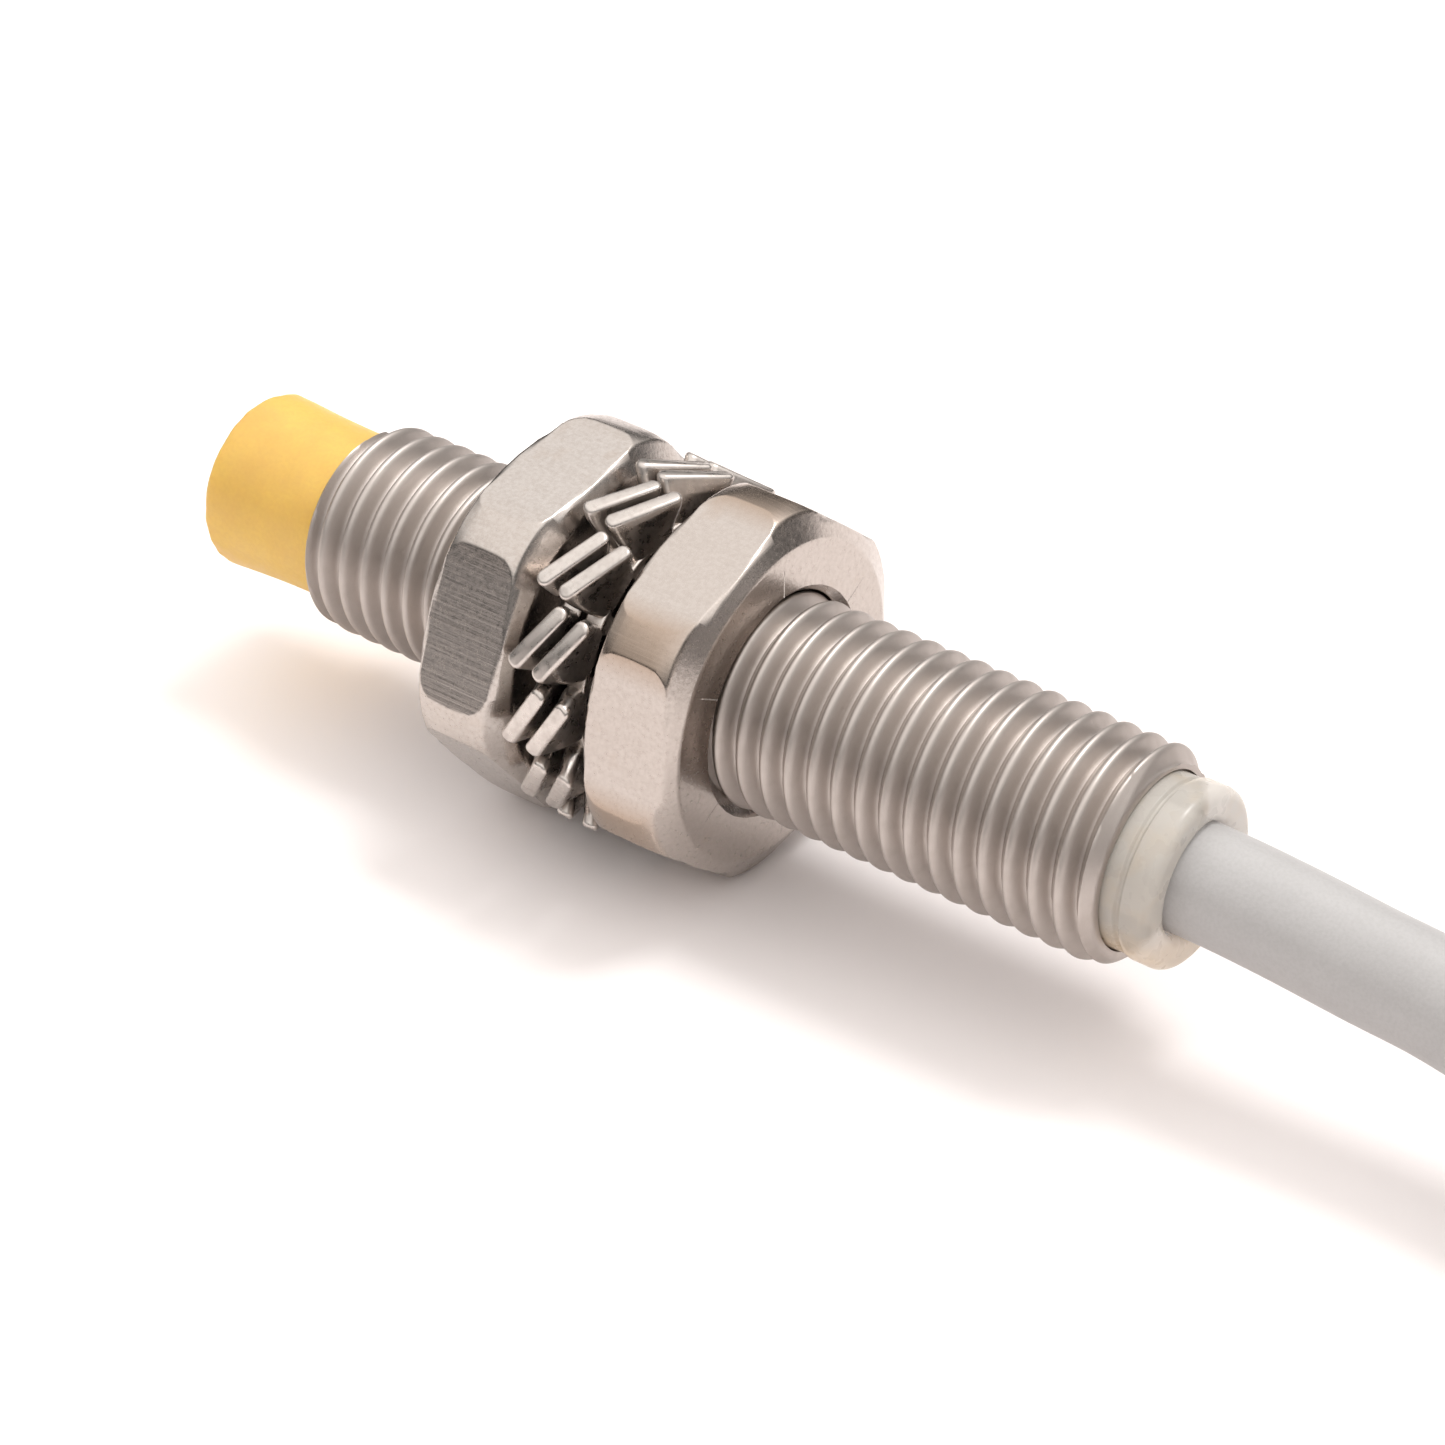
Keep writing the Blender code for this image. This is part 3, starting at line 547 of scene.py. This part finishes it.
def board_laminate():
    """Green solder resist over a woven glass board."""
    paint = Paint("board_green", (0.02, 0.14, 0.05), 0.35)
    weave = paint.noise(4200, 2.0, stretch=(1.0, 0.2, 1.0))
    cross = paint.noise(4200, 2.0, stretch=(0.2, 1.0, 1.0))
    paint.tint(paint.between(weave, 0.4, 0.7, 0.0, 0.5), (0.03, 0.2, 0.08))
    paint.roughen(cross, 0.3, 0.7, 0.28, 0.42)
    paint.bump(weave, 0.004 * MM)
    paint.bump(cross, 0.004 * MM)
    return paint.material


def inside_paints():
    """The detailed material for each of the CAD materials that a shown CAD node still has."""
    return {
        "ferrite": grained_plastic("ferrite_grey", (0.022, 0.022, 0.024), 0.62, 9000, 0.7),
        "bobbin_plastic": grained_plastic("bobbin_natural", (0.69, 0.64, 0.48), 0.45),
        "copper_wire": drawn_metal("copper_enamelled", (0.57, 0.15, 0.04), 0.3, stretch=(1.0, 0.05, 0.05)),
        "board": board_laminate(),
        "chip": grained_plastic("epoxy_black", (0.01, 0.01, 0.011), 0.5, 7000),
        "resistor": grained_plastic("resistor_glaze", (0.013, 0.013, 0.015), 0.32, 7000),
        "capacitor": grained_plastic("capacitor_tan", (0.34, 0.2, 0.083), 0.5, 7000),
        "led": grained_plastic("led_amber", (0.89, 0.69, 0.21), 0.2, 3000, 0.93),
        "potting_resin": grained_plastic("resin_black", (0.014, 0.014, 0.014), 0.25, 1500),
        "core_brown": BROWN,
        "core_blue": BLUE,
        "core_black": BLACK,
    }


# Threads, barrel and nuts

# Shares of the pitch
PROFILE_STEPS = [0.05 * step for step in range(10)]
ROOT_HALF = 0.05 * MM
EDGE_BLEND = 0.16 * MM
SLEEVE_DEPTH = 3 * MM
PLUG_GAP = 0.05 * MM
PLUG_RADIUS = BARREL_BORE - PLUG_GAP


def thread_outline(crest, root, crest_half):
    """(offset along the axis, radius) points over one pitch, with rounded edges and root."""
    steepness = (crest - root) / (PITCH / 2 - crest_half - ROOT_HALF)
    offsets = [-step * PITCH for step in reversed(PROFILE_STEPS[1:])]
    offsets += [step * PITCH for step in PROFILE_STEPS] + [PITCH / 2]
    outline = []
    for offset in offsets:
        flank = crest - (abs(offset) - crest_half) * steepness
        outline.append((offset, -smooth_min(-smooth_min(flank, crest, EDGE_BLEND), -root, EDGE_BLEND)))
    return outline


def thread_skin(build, turns, fit, start, end, limit, before=(), after=()):
    """A right-hand threaded surface from start to end, whose radius passes through limit(x, radius).

    fit is added to the barrel's own thread. Plain (x, radius) points can go before and after it.
    """
    outline = thread_outline(THREAD_RADIUS + fit, THREAD_ROOT + fit, CREST_HALF)
    first_turn = math.floor((start - THREAD_PHASE) / PITCH) - 2
    last_turn = math.ceil((end - THREAD_PHASE) / PITCH) + 2
    rows = [(THREAD_PHASE + number * PITCH + offset, radius)
            for number in range(first_turn, last_turn) for offset, radius in outline]
    columns = []
    for turn in turns:
        column = list(before)
        for x, radius in rows:
            along = x + PITCH * turn / FULL_TURN
            place = min(max(along, start), end)
            reach = limit(place, radius if place == along else THREAD_ROOT + fit)
            column.append((place, reach))
        column += after
        columns.append([build.verts.new(around(x, radius, turn)) for x, radius in column])
    # after a whole turn a row of the thread meets the same row one pitch on
    first = columns[0]
    thread_end = len(first) - len(after)
    thread = first[len(before):thread_end]
    shifted = thread[len(outline):] + [thread[-1]] * len(outline)
    skin(build, columns, first[:len(before)] + shifted + first[thread_end:])


def make_barrel(paint):
    """The threaded tube: chamfered ends, the recess at the rear and the start of the bore at each end."""

    def chamfered(x, radius):
        return min(radius, FRONT_FACE_RADIUS + x - BARREL_FRONT, REAR_FACE_RADIUS + BARREL_REAR - x)

    recess_end = BARREL_REAR - RECESS_DEPTH
    front = [(BARREL_FRONT + SLEEVE_DEPTH, BARREL_BORE), (BARREL_FRONT, BARREL_BORE)]
    rear = [(BARREL_REAR, RECESS_RADIUS), (recess_end, RECESS_RADIUS), (recess_end, BARREL_BORE),
            (BARREL_REAR - SLEEVE_DEPTH, BARREL_BORE)]
    build = bmesh.new()
    thread_skin(build, even_turns(144), 0.0, BARREL_FRONT, BARREL_REAR, chamfered, front, rear)
    barrel = finish_mesh(build, "threaded_barrel", paint, "sensor", sharp=50.0)
    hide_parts("barrel")


# Nuts: flats with round-cornered outlines, between turned corner bands and the 30 degree chamfers

BAND_SLOPE = 0.45
CHAMFER_SLOPE = 1.73
FLAT_CORNER = 0.7 * MM
FACE_ROUNDING = 0.1 * MM
FINE_DEPTHS = [0.05 * MM * step for step in range(22)]
MIDDLE_DEPTHS = [1.4 * MM, 2.0 * MM]
# Degrees from the middle of a flat, whose edge is at 30
MIDDLE_ANGLES = [-9, 0, 9]
EDGE_ANGLES = [18 + 0.4 * step for step in range(31)]


def flat_columns():
    """Angles from the middle of a flat, close together beside its edges."""
    first_side = [-angle for angle in reversed(EDGE_ANGLES)]
    return [math.radians(angle) for angle in first_side + MIDDLE_ANGLES + EDGE_ANGLES[:-1]]


def nut_reach(depth, from_flat):
    """The nut's radius at this depth below its nearer face and this angle from the middle of a flat."""
    plane = NUT_FLATS / 2 / math.cos(from_flat)
    past_band = (plane - NUT_CORNER_RADIUS) / BAND_SLOPE
    past_chamfer = (plane - NUT_FACE_RADIUS) / CHAMFER_SLOPE - depth
    corner = (max(past_band + FLAT_CORNER, 0.0), max(past_chamfer + FLAT_CORNER, 0.0))
    outside = math.hypot(*corner) - FLAT_CORNER
    return plane - max(past_chamfer * CHAMFER_SLOPE, outside * BAND_SLOPE, 0.0)


def make_nut(name, x, corner_turn, paint):
    """A hexagon nut with its front face at x, countersunk and threaded."""
    far = x + NUT_THICKNESS
    depths = FINE_DEPTHS + MIDDLE_DEPTHS
    build = bmesh.new()
    columns = []
    for flat in range(6):
        for from_flat in flat_columns():
            turn = corner_turn + math.radians(30 + 60 * flat) + from_flat
            front = [(x + depth, nut_reach(depth, from_flat)) for depth in depths]
            rear = [(far - depth, nut_reach(depth, from_flat)) for depth in reversed(depths[:-1])]
            face_edge = nut_reach(0.0, from_flat) - FACE_ROUNDING
            outline = [(x, NUT_COUNTERSINK), (x, face_edge), *front]
            outline += [*rear, (far, face_edge), (far, NUT_COUNTERSINK)]
            columns.append([build.verts.new(around(place, radius, turn)) for place, radius in outline])
    skin(build, columns)

    def countersunk(place, radius):
        return max(radius, NUT_COUNTERSINK - min(place - x, far - place))

    thread_skin(build, even_turns(96), RUNNING_FIT, x, far, countersunk)
    nut = finish_mesh(build, name + "_fine", paint, name, sharp=75.0)
    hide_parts(name)


# Lock washers: each tooth is a bar, twisted like a fan's blade, that gets wider and thinner to its tip

TOOTH_TIP = 6.88 * MM
TOOTH_ROOT_HALF = 1.05 * MM
TOOTH_TIP_HALF = 1.46 * MM
TOOTH_THINNING = 0.2
TOOTH_TWIST = math.radians(30)
TOOTH_CORNER = 0.28 * MM
TOOTH_EDGE = 0.14 * MM
TOOTH_BURIED = 0.6 * MM
TOOTH_STATIONS = 6
TIP_ANGLES = (22, 45, 67, 90)
TWIST_UNEVENNESS = 0.08
TOOTH_UNEVENNESS = 0.03 * MM
RING_OVERLAP = 0.1 * MM
SECTION_CORNER_STEPS = 4
# Features per metre of the unevenness of small pieces
FINE_UNEVEN_SCALE = 2200


def rounded_section(half_width, half_thickness, edge):
    """Points round a rounded rectangle, as (across, through) offsets."""
    points = []
    for across_side, through_side, first in QUARTERS:
        for step in range(SECTION_CORNER_STEPS + 1):
            angle = math.radians(first + 90 * step / SECTION_CORNER_STEPS)
            points.append((across_side * (half_width - edge) + edge * math.cos(angle),
                           through_side * (half_thickness - edge) + edge * math.sin(angle)))
    return points


def tooth_stations():
    """(radius, inset) places along a tooth, of which the last ones round off its tip."""
    stations = [(WASHER_ROOT - TOOTH_BURIED, 0.0), (WASHER_ROOT - RING_OVERLAP, 0.0)]
    straight = TOOTH_TIP - TOOTH_EDGE - WASHER_ROOT
    for step in range(1, TOOTH_STATIONS + 1):
        stations.append((WASHER_ROOT + straight * step / TOOTH_STATIONS, 0.0))
    for degrees in TIP_ANGLES:
        angle = math.radians(degrees)
        stations.append((TOOTH_TIP - TOOTH_EDGE * (1 - math.sin(angle)), TOOTH_EDGE * (1 - math.cos(angle))))
    return stations


def make_tooth(build, x, middle_turn, unevenness):
    """A tooth of the washer at x, with its middle at this turn."""
    half = WASHER_THICKNESS / 2
    sections = []
    for radius, inset in tooth_stations():
        along = (radius - WASHER_ROOT) / (TOOTH_TIP - WASHER_ROOT)
        growth = smooth_step(along * 0.9 + 0.1) if along > 0 else 0.0
        twist = TOOTH_TWIST * growth * (1 + TWIST_UNEVENNESS * unevenness)
        width = TOOTH_ROOT_HALF + (TOOTH_TIP_HALF - TOOTH_ROOT_HALF) * growth - inset
        thickness = half * (1 - TOOTH_THINNING * growth) - inset
        section = []
        for across, through in rounded_section(width, thickness, TOOTH_CORNER - inset):
            sideways = across * math.cos(twist) + through * math.sin(twist)
            rise = through * math.cos(twist) - across * math.sin(twist)
            place = around(x + rise, radius, middle_turn + sideways / radius)
            # noise_vector is unseeded here and takes its seed from the clock, so the teeth differ
            # by a few hundredths of a millimetre between runs
            place += noise.noise_vector(place * FINE_UNEVEN_SCALE) * TOOTH_UNEVENNESS * growth
            section.append(build.verts.new(place))
        sections.append(section)
    closed = [[*section, section[0]] for section in sections]
    skin(build, closed, closing=closed[-1])
    build.faces.new(sections[-1])
    build.faces.new(reversed(sections[0]))


def make_washer(name, body, x, first_turn, paint):
    """A flat ring round x with overlapping twisted teeth, a little uneven where they were cut."""
    half = WASHER_THICKNESS / 2
    ring = [Vector(point) for point in (
        (x, WASHER_BORE), (x - half, WASHER_BORE), (x - half, WASHER_ROOT + RING_OVERLAP),
        (x + half, WASHER_ROOT + RING_OVERLAP), (x + half, WASHER_BORE), (x, WASHER_BORE))]
    build = bmesh.new()
    revolve(build, rounded(ring, 0.12 * MM))
    for tooth in range(WASHER_TEETH):
        unevenness = noise.noise(Vector((tooth * 3.7, x * 900, 0.5)))
        make_tooth(build, x, first_turn + tooth * FULL_TURN / WASHER_TEETH, unevenness)
    washer = finish_mesh(build, name + "_fine", paint, body, sharp=55.0)
    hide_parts(name)


# Cap and end cap

CAP_PLUG_DEPTH = 1.0 * MM
CAP_RIM_ROUNDING = 0.3 * MM
CAP_SWELLING = 0.16 * MM
CAP_SWELLING_REACH = 2.0 * MM
CAP_UNEVENNESS = 0.025 * MM
CAP_UNEVEN_SCALE = 420
RIM_UNEVENNESS = 0.05 * MM
RIM_REACH = 0.5 * MM
GROOVE_HALF = 0.1 * MM


def make_cap(paint):
    """The sensing cap, swollen and a little uneven towards its rim from wear."""
    inside = BARREL_FRONT + CAP_PLUG_DEPTH
    shoulder = BARREL_FRONT - PLUG_GAP
    outline = [Vector(point) for point in (
        (CAP_FRONT, 0.0), (CAP_FRONT, CAP_RADIUS), (shoulder, CAP_RADIUS),
        (shoulder, PLUG_RADIUS), (inside, PLUG_RADIUS))]
    face = [Vector((CAP_FRONT, CAP_RADIUS * share / 12)) for share in range(10)]
    rim = rounded(outline[:3], CAP_RIM_ROUNDING, 6)[1:-1]
    side = [Vector((CAP_FRONT + (0.6 + 0.3 * step) * MM, CAP_RADIUS)) for step in range(15)]
    build = bmesh.new()
    revolve(build, face + rim + side + outline[2:], 200)
    for vert in build.verts:
        if vert.co.x < BARREL_FRONT - 0.3 * MM:
            behind_face = vert.co.x - CAP_FRONT
            near_rim = math.exp(-(behind_face / RIM_REACH) ** 2)
            outward = Vector((0.0, vert.co.y, vert.co.z - AXIS_HEIGHT)).normalized()
            swelling = CAP_SWELLING * math.exp(-(behind_face / CAP_SWELLING_REACH) ** 2)
            slow = swelling + noise.noise(vert.co * CAP_UNEVEN_SCALE) * CAP_UNEVENNESS
            fine = noise.noise(vert.co * FINE_UNEVEN_SCALE) * RIM_UNEVENNESS * near_rim
            vert.co += outward * (slow + fine)
    cap = finish_mesh(build, "yellow_cap", paint, "sensor", sharp=60.0)
    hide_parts("sensing_cap")


def make_end_cap(paint):
    """The milky end cap: a neck in the barrel's recess, a groove, and a rounded collar round the cable."""
    hole = CABLE_RADIUS + 0.03 * MM
    inside = BARREL_REAR - SLEEVE_DEPTH
    shoulder = BARREL_REAR - RECESS_DEPTH + PLUG_GAP
    neck = [Vector(point) for point in (
        (inside, PLUG_RADIUS), (shoulder, PLUG_RADIUS), (shoulder, NECK_RADIUS),
        (GROOVE_X - GROOVE_HALF, NECK_RADIUS),
        (GROOVE_X, GROOVE_RADIUS), (GROOVE_X + GROOVE_HALF, GROOVE_RADIUS),
        (GROOVE_X + 2 * GROOVE_HALF, END_CAP_RADIUS), (GROOVE_X + 4 * GROOVE_HALF, END_CAP_RADIUS))]
    collar = [Vector(point) for point in (
        (GROOVE_X + 4 * GROOVE_HALF, END_CAP_RADIUS), (END_CAP_END, END_CAP_RADIUS), (END_CAP_END, hole),
        (inside, hole))]
    build = bmesh.new()
    revolve(build, rounded(neck, 0.08 * MM)[:-1] + rounded(collar, 0.4 * MM, 8) + [neck[0]])
    cap = finish_mesh(build, "milky_end_cap", paint, "sensor", sharp=50.0)
    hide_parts("end_cap")


# The tie round the hank's waist, and the three stripped cores at the cable's end

TIE_HALF = 8.1 * MM
TIE_LOW = 1.05 * MM
TIE_HIGH = 20.7 * MM
TIE_THICKNESS = 1.0 * MM
TIE_WIDTH = 2.6 * MM
TIE_CORNER = 1.5 * MM
TIE_EDGE = 0.25 * MM
TIE_HEAD = Vector((4.4, 4.8, 3.0)) * MM
TIE_HEAD_GAP = 0.2 * MM
STRAP_STUB = 1.2 * MM
STRAP_SINK = 0.3 * MM
LEAD_SIDE = 1.15 * MM
LEAD_BURIED = 0.6 * MM
LEAD_STRAIGHT = 1.6 * MM
# (x, distance from the middle core) in millimetres
LEAD_REACHES = [(55.5, 1.3), (60.5, 1.45), (66.0, 1.65), (71.5, 1.9)]
STRAND_COUNT = 6
STRAND_RADIUS = 0.1 * MM
STRAND_LAY = 4.0 * MM
TINNED_LENGTH = 5.0 * MM
POINTS_PER_LAY = 16


def rounded_box(build, size, centre, rounding, recess=0.0):
    """A box with rounded edges, and a shallow recess in its top."""
    made = bmesh.ops.create_cube(build, size=1.0)["verts"]
    for vert in made:
        vert.co = Vector(axis * length for axis, length in zip(vert.co, size)) + centre
    faces = list({face for vert in made for face in vert.link_faces})
    edges = list({edge for vert in made for edge in vert.link_edges})
    if recess:
        top = max(faces, key=lambda face: face.calc_center_median().z)
        bmesh.ops.inset_individual(build, faces=[top], thickness=0.8 * MM, depth=-recess)
        edges += list(top.edges)
    bmesh.ops.bevel(build, geom=edges, offset=rounding, segments=3, profile=0.5, affect="EDGES",
                    clamp_overlap=True)


def make_tie(paint):
    """A nylon cable tie: its band, and the head with the strap's cut end standing out of it."""
    middle = (TIE_LOW + TIE_HIGH) / 2
    half_height = (TIE_HIGH - TIE_LOW) / 2
    build = bmesh.new()
    columns = []
    for across, up, first in QUARTERS:
        corner = Vector((HANK_X, HANK_Y + across * (TIE_HALF - TIE_CORNER),
                         middle + up * (half_height - TIE_CORNER)))
        for step in range(9):
            angle = math.radians(first + 90 * step / 8)
            outward = Vector((0.0, math.cos(angle), math.sin(angle)))
            column = [build.verts.new(corner + Vector((sideways, 0.0, 0.0))
                                      + outward * (TIE_CORNER + TIE_THICKNESS / 2 + out))
                      for sideways, out in rounded_section(TIE_WIDTH / 2, TIE_THICKNESS / 2, TIE_EDGE)]
            columns.append([*column, column[0]])
    skin(build, columns)
    head_middle = Vector((HANK_X, HANK_Y, TIE_HIGH + TIE_HEAD_GAP + TIE_HEAD.z / 2))
    rounded_box(build, TIE_HEAD, head_middle, 0.3 * MM, recess=0.4 * MM)
    strap_end = Vector((TIE_WIDTH - 0.3 * MM, TIE_THICKNESS, STRAP_STUB))
    rounded_box(build, strap_end, head_middle + Vector((0.0, 0.0, TIE_HEAD.z / 2 - STRAP_SINK)), 0.08 * MM)
    tie = finish_mesh(build, "nylon_tie", paint, "sensor")
    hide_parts("hank_tie")
    return tie


def lead_points(side):
    """The middle of a stripped core: out of the jacket's end, then along the hank's inner column."""
    end = hank_point(TAIL_END)
    along = (end - hank_point(TAIL_END - MM)).normalized()
    across = Vector((-along.y, along.x, 0.0))
    column_middle = CABLE_RADIUS + (HANK_LAYERS - 1) * LAYER_STEP
    touching = CABLE_RADIUS + CORE_RADIUS
    start = end + across * side * LEAD_SIDE
    points = [start - along * LEAD_BURIED, start + along * LEAD_STRAIGHT]
    for x, spread in LEAD_REACHES:
        offset = side * spread * MM
        y = HANK_Y - HANK_FOLD + WAIST_PULL * waist(x * MM) + offset
        points.append(Vector((x * MM, y, column_middle + math.sqrt(touching ** 2 - offset ** 2))))
    return points


def strands(tip, onward):
    """Splines for a straight core strand and the strands laid round it, from tip onwards."""
    sideways = onward.cross(Vector((0.0, 0.0, 1.0))).normalized()
    upward = sideways.cross(onward)
    steps = round(POINTS_PER_LAY * TINNED_LENGTH / STRAND_LAY)
    places = [TINNED_LENGTH * step / steps for step in range(steps + 1)]
    splines = [[tip + onward * places[0], tip + onward * places[-1]]]
    for number in range(STRAND_COUNT):
        spline = []
        for place in places:
            angle = FULL_TURN * (number / STRAND_COUNT + place / STRAND_LAY)
            out = sideways * math.cos(angle) + upward * math.sin(angle)
            spline.append(tip + onward * place + out * 2 * STRAND_RADIUS)
        splines.append(spline)
    return splines


def make_lead(colour, side, paint, tinned):
    """A stripped core and its tinned strands, on one side of the middle core or, at 0, in the middle."""
    points = lead_points(side)
    lead = smooth_curve(colour + "_lead", [points], CORE_RADIUS, paint)
    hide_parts("lead_" + colour)
    onward = (points[-1] - points[-2]).normalized()
    tip = strands(points[-1] - onward * 0.3 * MM, onward)
    tinned_end = smooth_curve(colour + "_tinned_strands", tip, STRAND_RADIUS, tinned, sides=2)
    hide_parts("tinned_end_" + colour)
    return [lead, tinned_end]


# Assembly

make_camera()
BROWN = grained_plastic("core_brown_pvc", (0.085, 0.025, 0.009), 0.4)
BLUE = grained_plastic("core_blue_pvc", (0.01, 0.051, 0.32), 0.4)
BLACK = grained_plastic("core_black_pvc", (0.008, 0.008, 0.009), 0.4)
TINNED = drawn_metal("tinned_strands", (0.62, 0.6, 0.57), 0.28)

for cad_material, detailed in inside_paints().items():
    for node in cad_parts.values():
        for material_slot in node.material_slots:
            if material_slot.material.name == cad_material:
                material_slot.material = detailed

cable = smooth_curve("grey_cable", [cable_points()], CABLE_RADIUS, jacket_plastic())
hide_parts("cable", "cable_hank", "cable_tail")
on_the_cable = [make_tie(tie_plastic())]
for lead_colour, lead_side, lead_paint in (("brown", -1, BROWN), ("blue", 0, BLUE), ("black", 1, BLACK)):
    on_the_cable += make_lead(lead_colour, lead_side, lead_paint, TINNED)

make_barrel(thread_metal())
FRONT_PLATING = nut_metal("front_nut_plating", (0.525, 0.485, 0.455), 0.1)
REAR_PLATING = nut_metal("rear_nut_plating", (0.505, 0.455, 0.42), 0.7)
make_nut("front_nut", FRONT_NUT_X, FRONT_NUT_TURN, FRONT_PLATING)
make_nut("rear_nut", REAR_NUT_X, REAR_NUT_TURN, REAR_PLATING)
WASHER = washer_metal()
make_washer("front_lock_washer", "front_washer", FRONT_WASHER_X, FRONT_WASHER_TURN, WASHER)
make_washer("rear_lock_washer", "rear_washer", REAR_WASHER_X, REAR_WASHER_TURN, WASHER)
make_cap(cap_plastic())
make_end_cap(end_cap_plastic())


# The stage: floor, world and light

FLOOR_HALF = 1.5


def make_floor():
    """A sheet of pale paper."""
    paint = Paint("paper", (0.95, 0.905, 0.895), 0.8)
    paint.set("Specular IOR Level", 0.2)
    fibres = paint.noise(900, 3.0)
    paint.bump(fibres, 0.01 * MM)
    build = bmesh.new()
    bmesh.ops.create_grid(build, x_segments=8, y_segments=8, size=FLOOR_HALF)
    mesh = bpy.data.meshes.new("floor")
    build.to_mesh(mesh)
    build.free()
    mesh.materials.append(paint.material)
    floor = bpy.data.objects.new("floor", mesh)
    bpy.context.scene.collection.objects.link(floor)


# (height, brightness) from the horizon up
SKY = ((0.05, 0.04), (0.2, 0.16), (0.48, 0.95), (0.68, 1.5))
SKY_TONE = (1.0, 0.97, 0.945)


def make_world():
    """A bright sky over a dark horizon, as in a white tent open towards the camera's side."""
    world = bpy.data.worlds.new("studio")
    bpy.context.scene.world = world
    world.use_nodes = True
    nodes, links = world.node_tree.nodes, world.node_tree.links
    where = nodes.new("ShaderNodeTexCoord")
    split = nodes.new("ShaderNodeSeparateXYZ")
    ramp = nodes.new("ShaderNodeValToRGB")
    knots = ramp.color_ramp.elements
    while len(knots) < len(SKY):
        knots.new(0.5)
    for knot, (height, brightness) in zip(knots, SKY):
        knot.position = height
        knot.color = (*(brightness * channel for channel in SKY_TONE), 1.0)
    links.new(where.outputs["Generated"], split.inputs["Vector"])
    links.new(split.outputs["Z"], ramp.inputs["Fac"])
    links.new(ramp.outputs["Color"], nodes["Background"].inputs["Color"])
    nodes["Background"].inputs["Strength"].default_value = 1.0


def add_light(name, direction, distance, size, power):
    """A square soft light that looks at the sensor from a direction."""
    data = bpy.data.lights.new(name, "AREA")
    data.size = size
    data.energy = power
    light = bpy.data.objects.new(name, data)
    light.location = Vector(direction).normalized() * distance
    light.rotation_euler = Vector(direction).to_track_quat("Z", "Y").to_euler()
    bpy.context.scene.collection.objects.link(light)


make_floor()
make_world()
add_light("key", direction=(0.14, 0.38, 0.91), distance=1.0, size=0.30, power=4.6)
bpy.context.scene.view_settings.view_transform = "Standard"
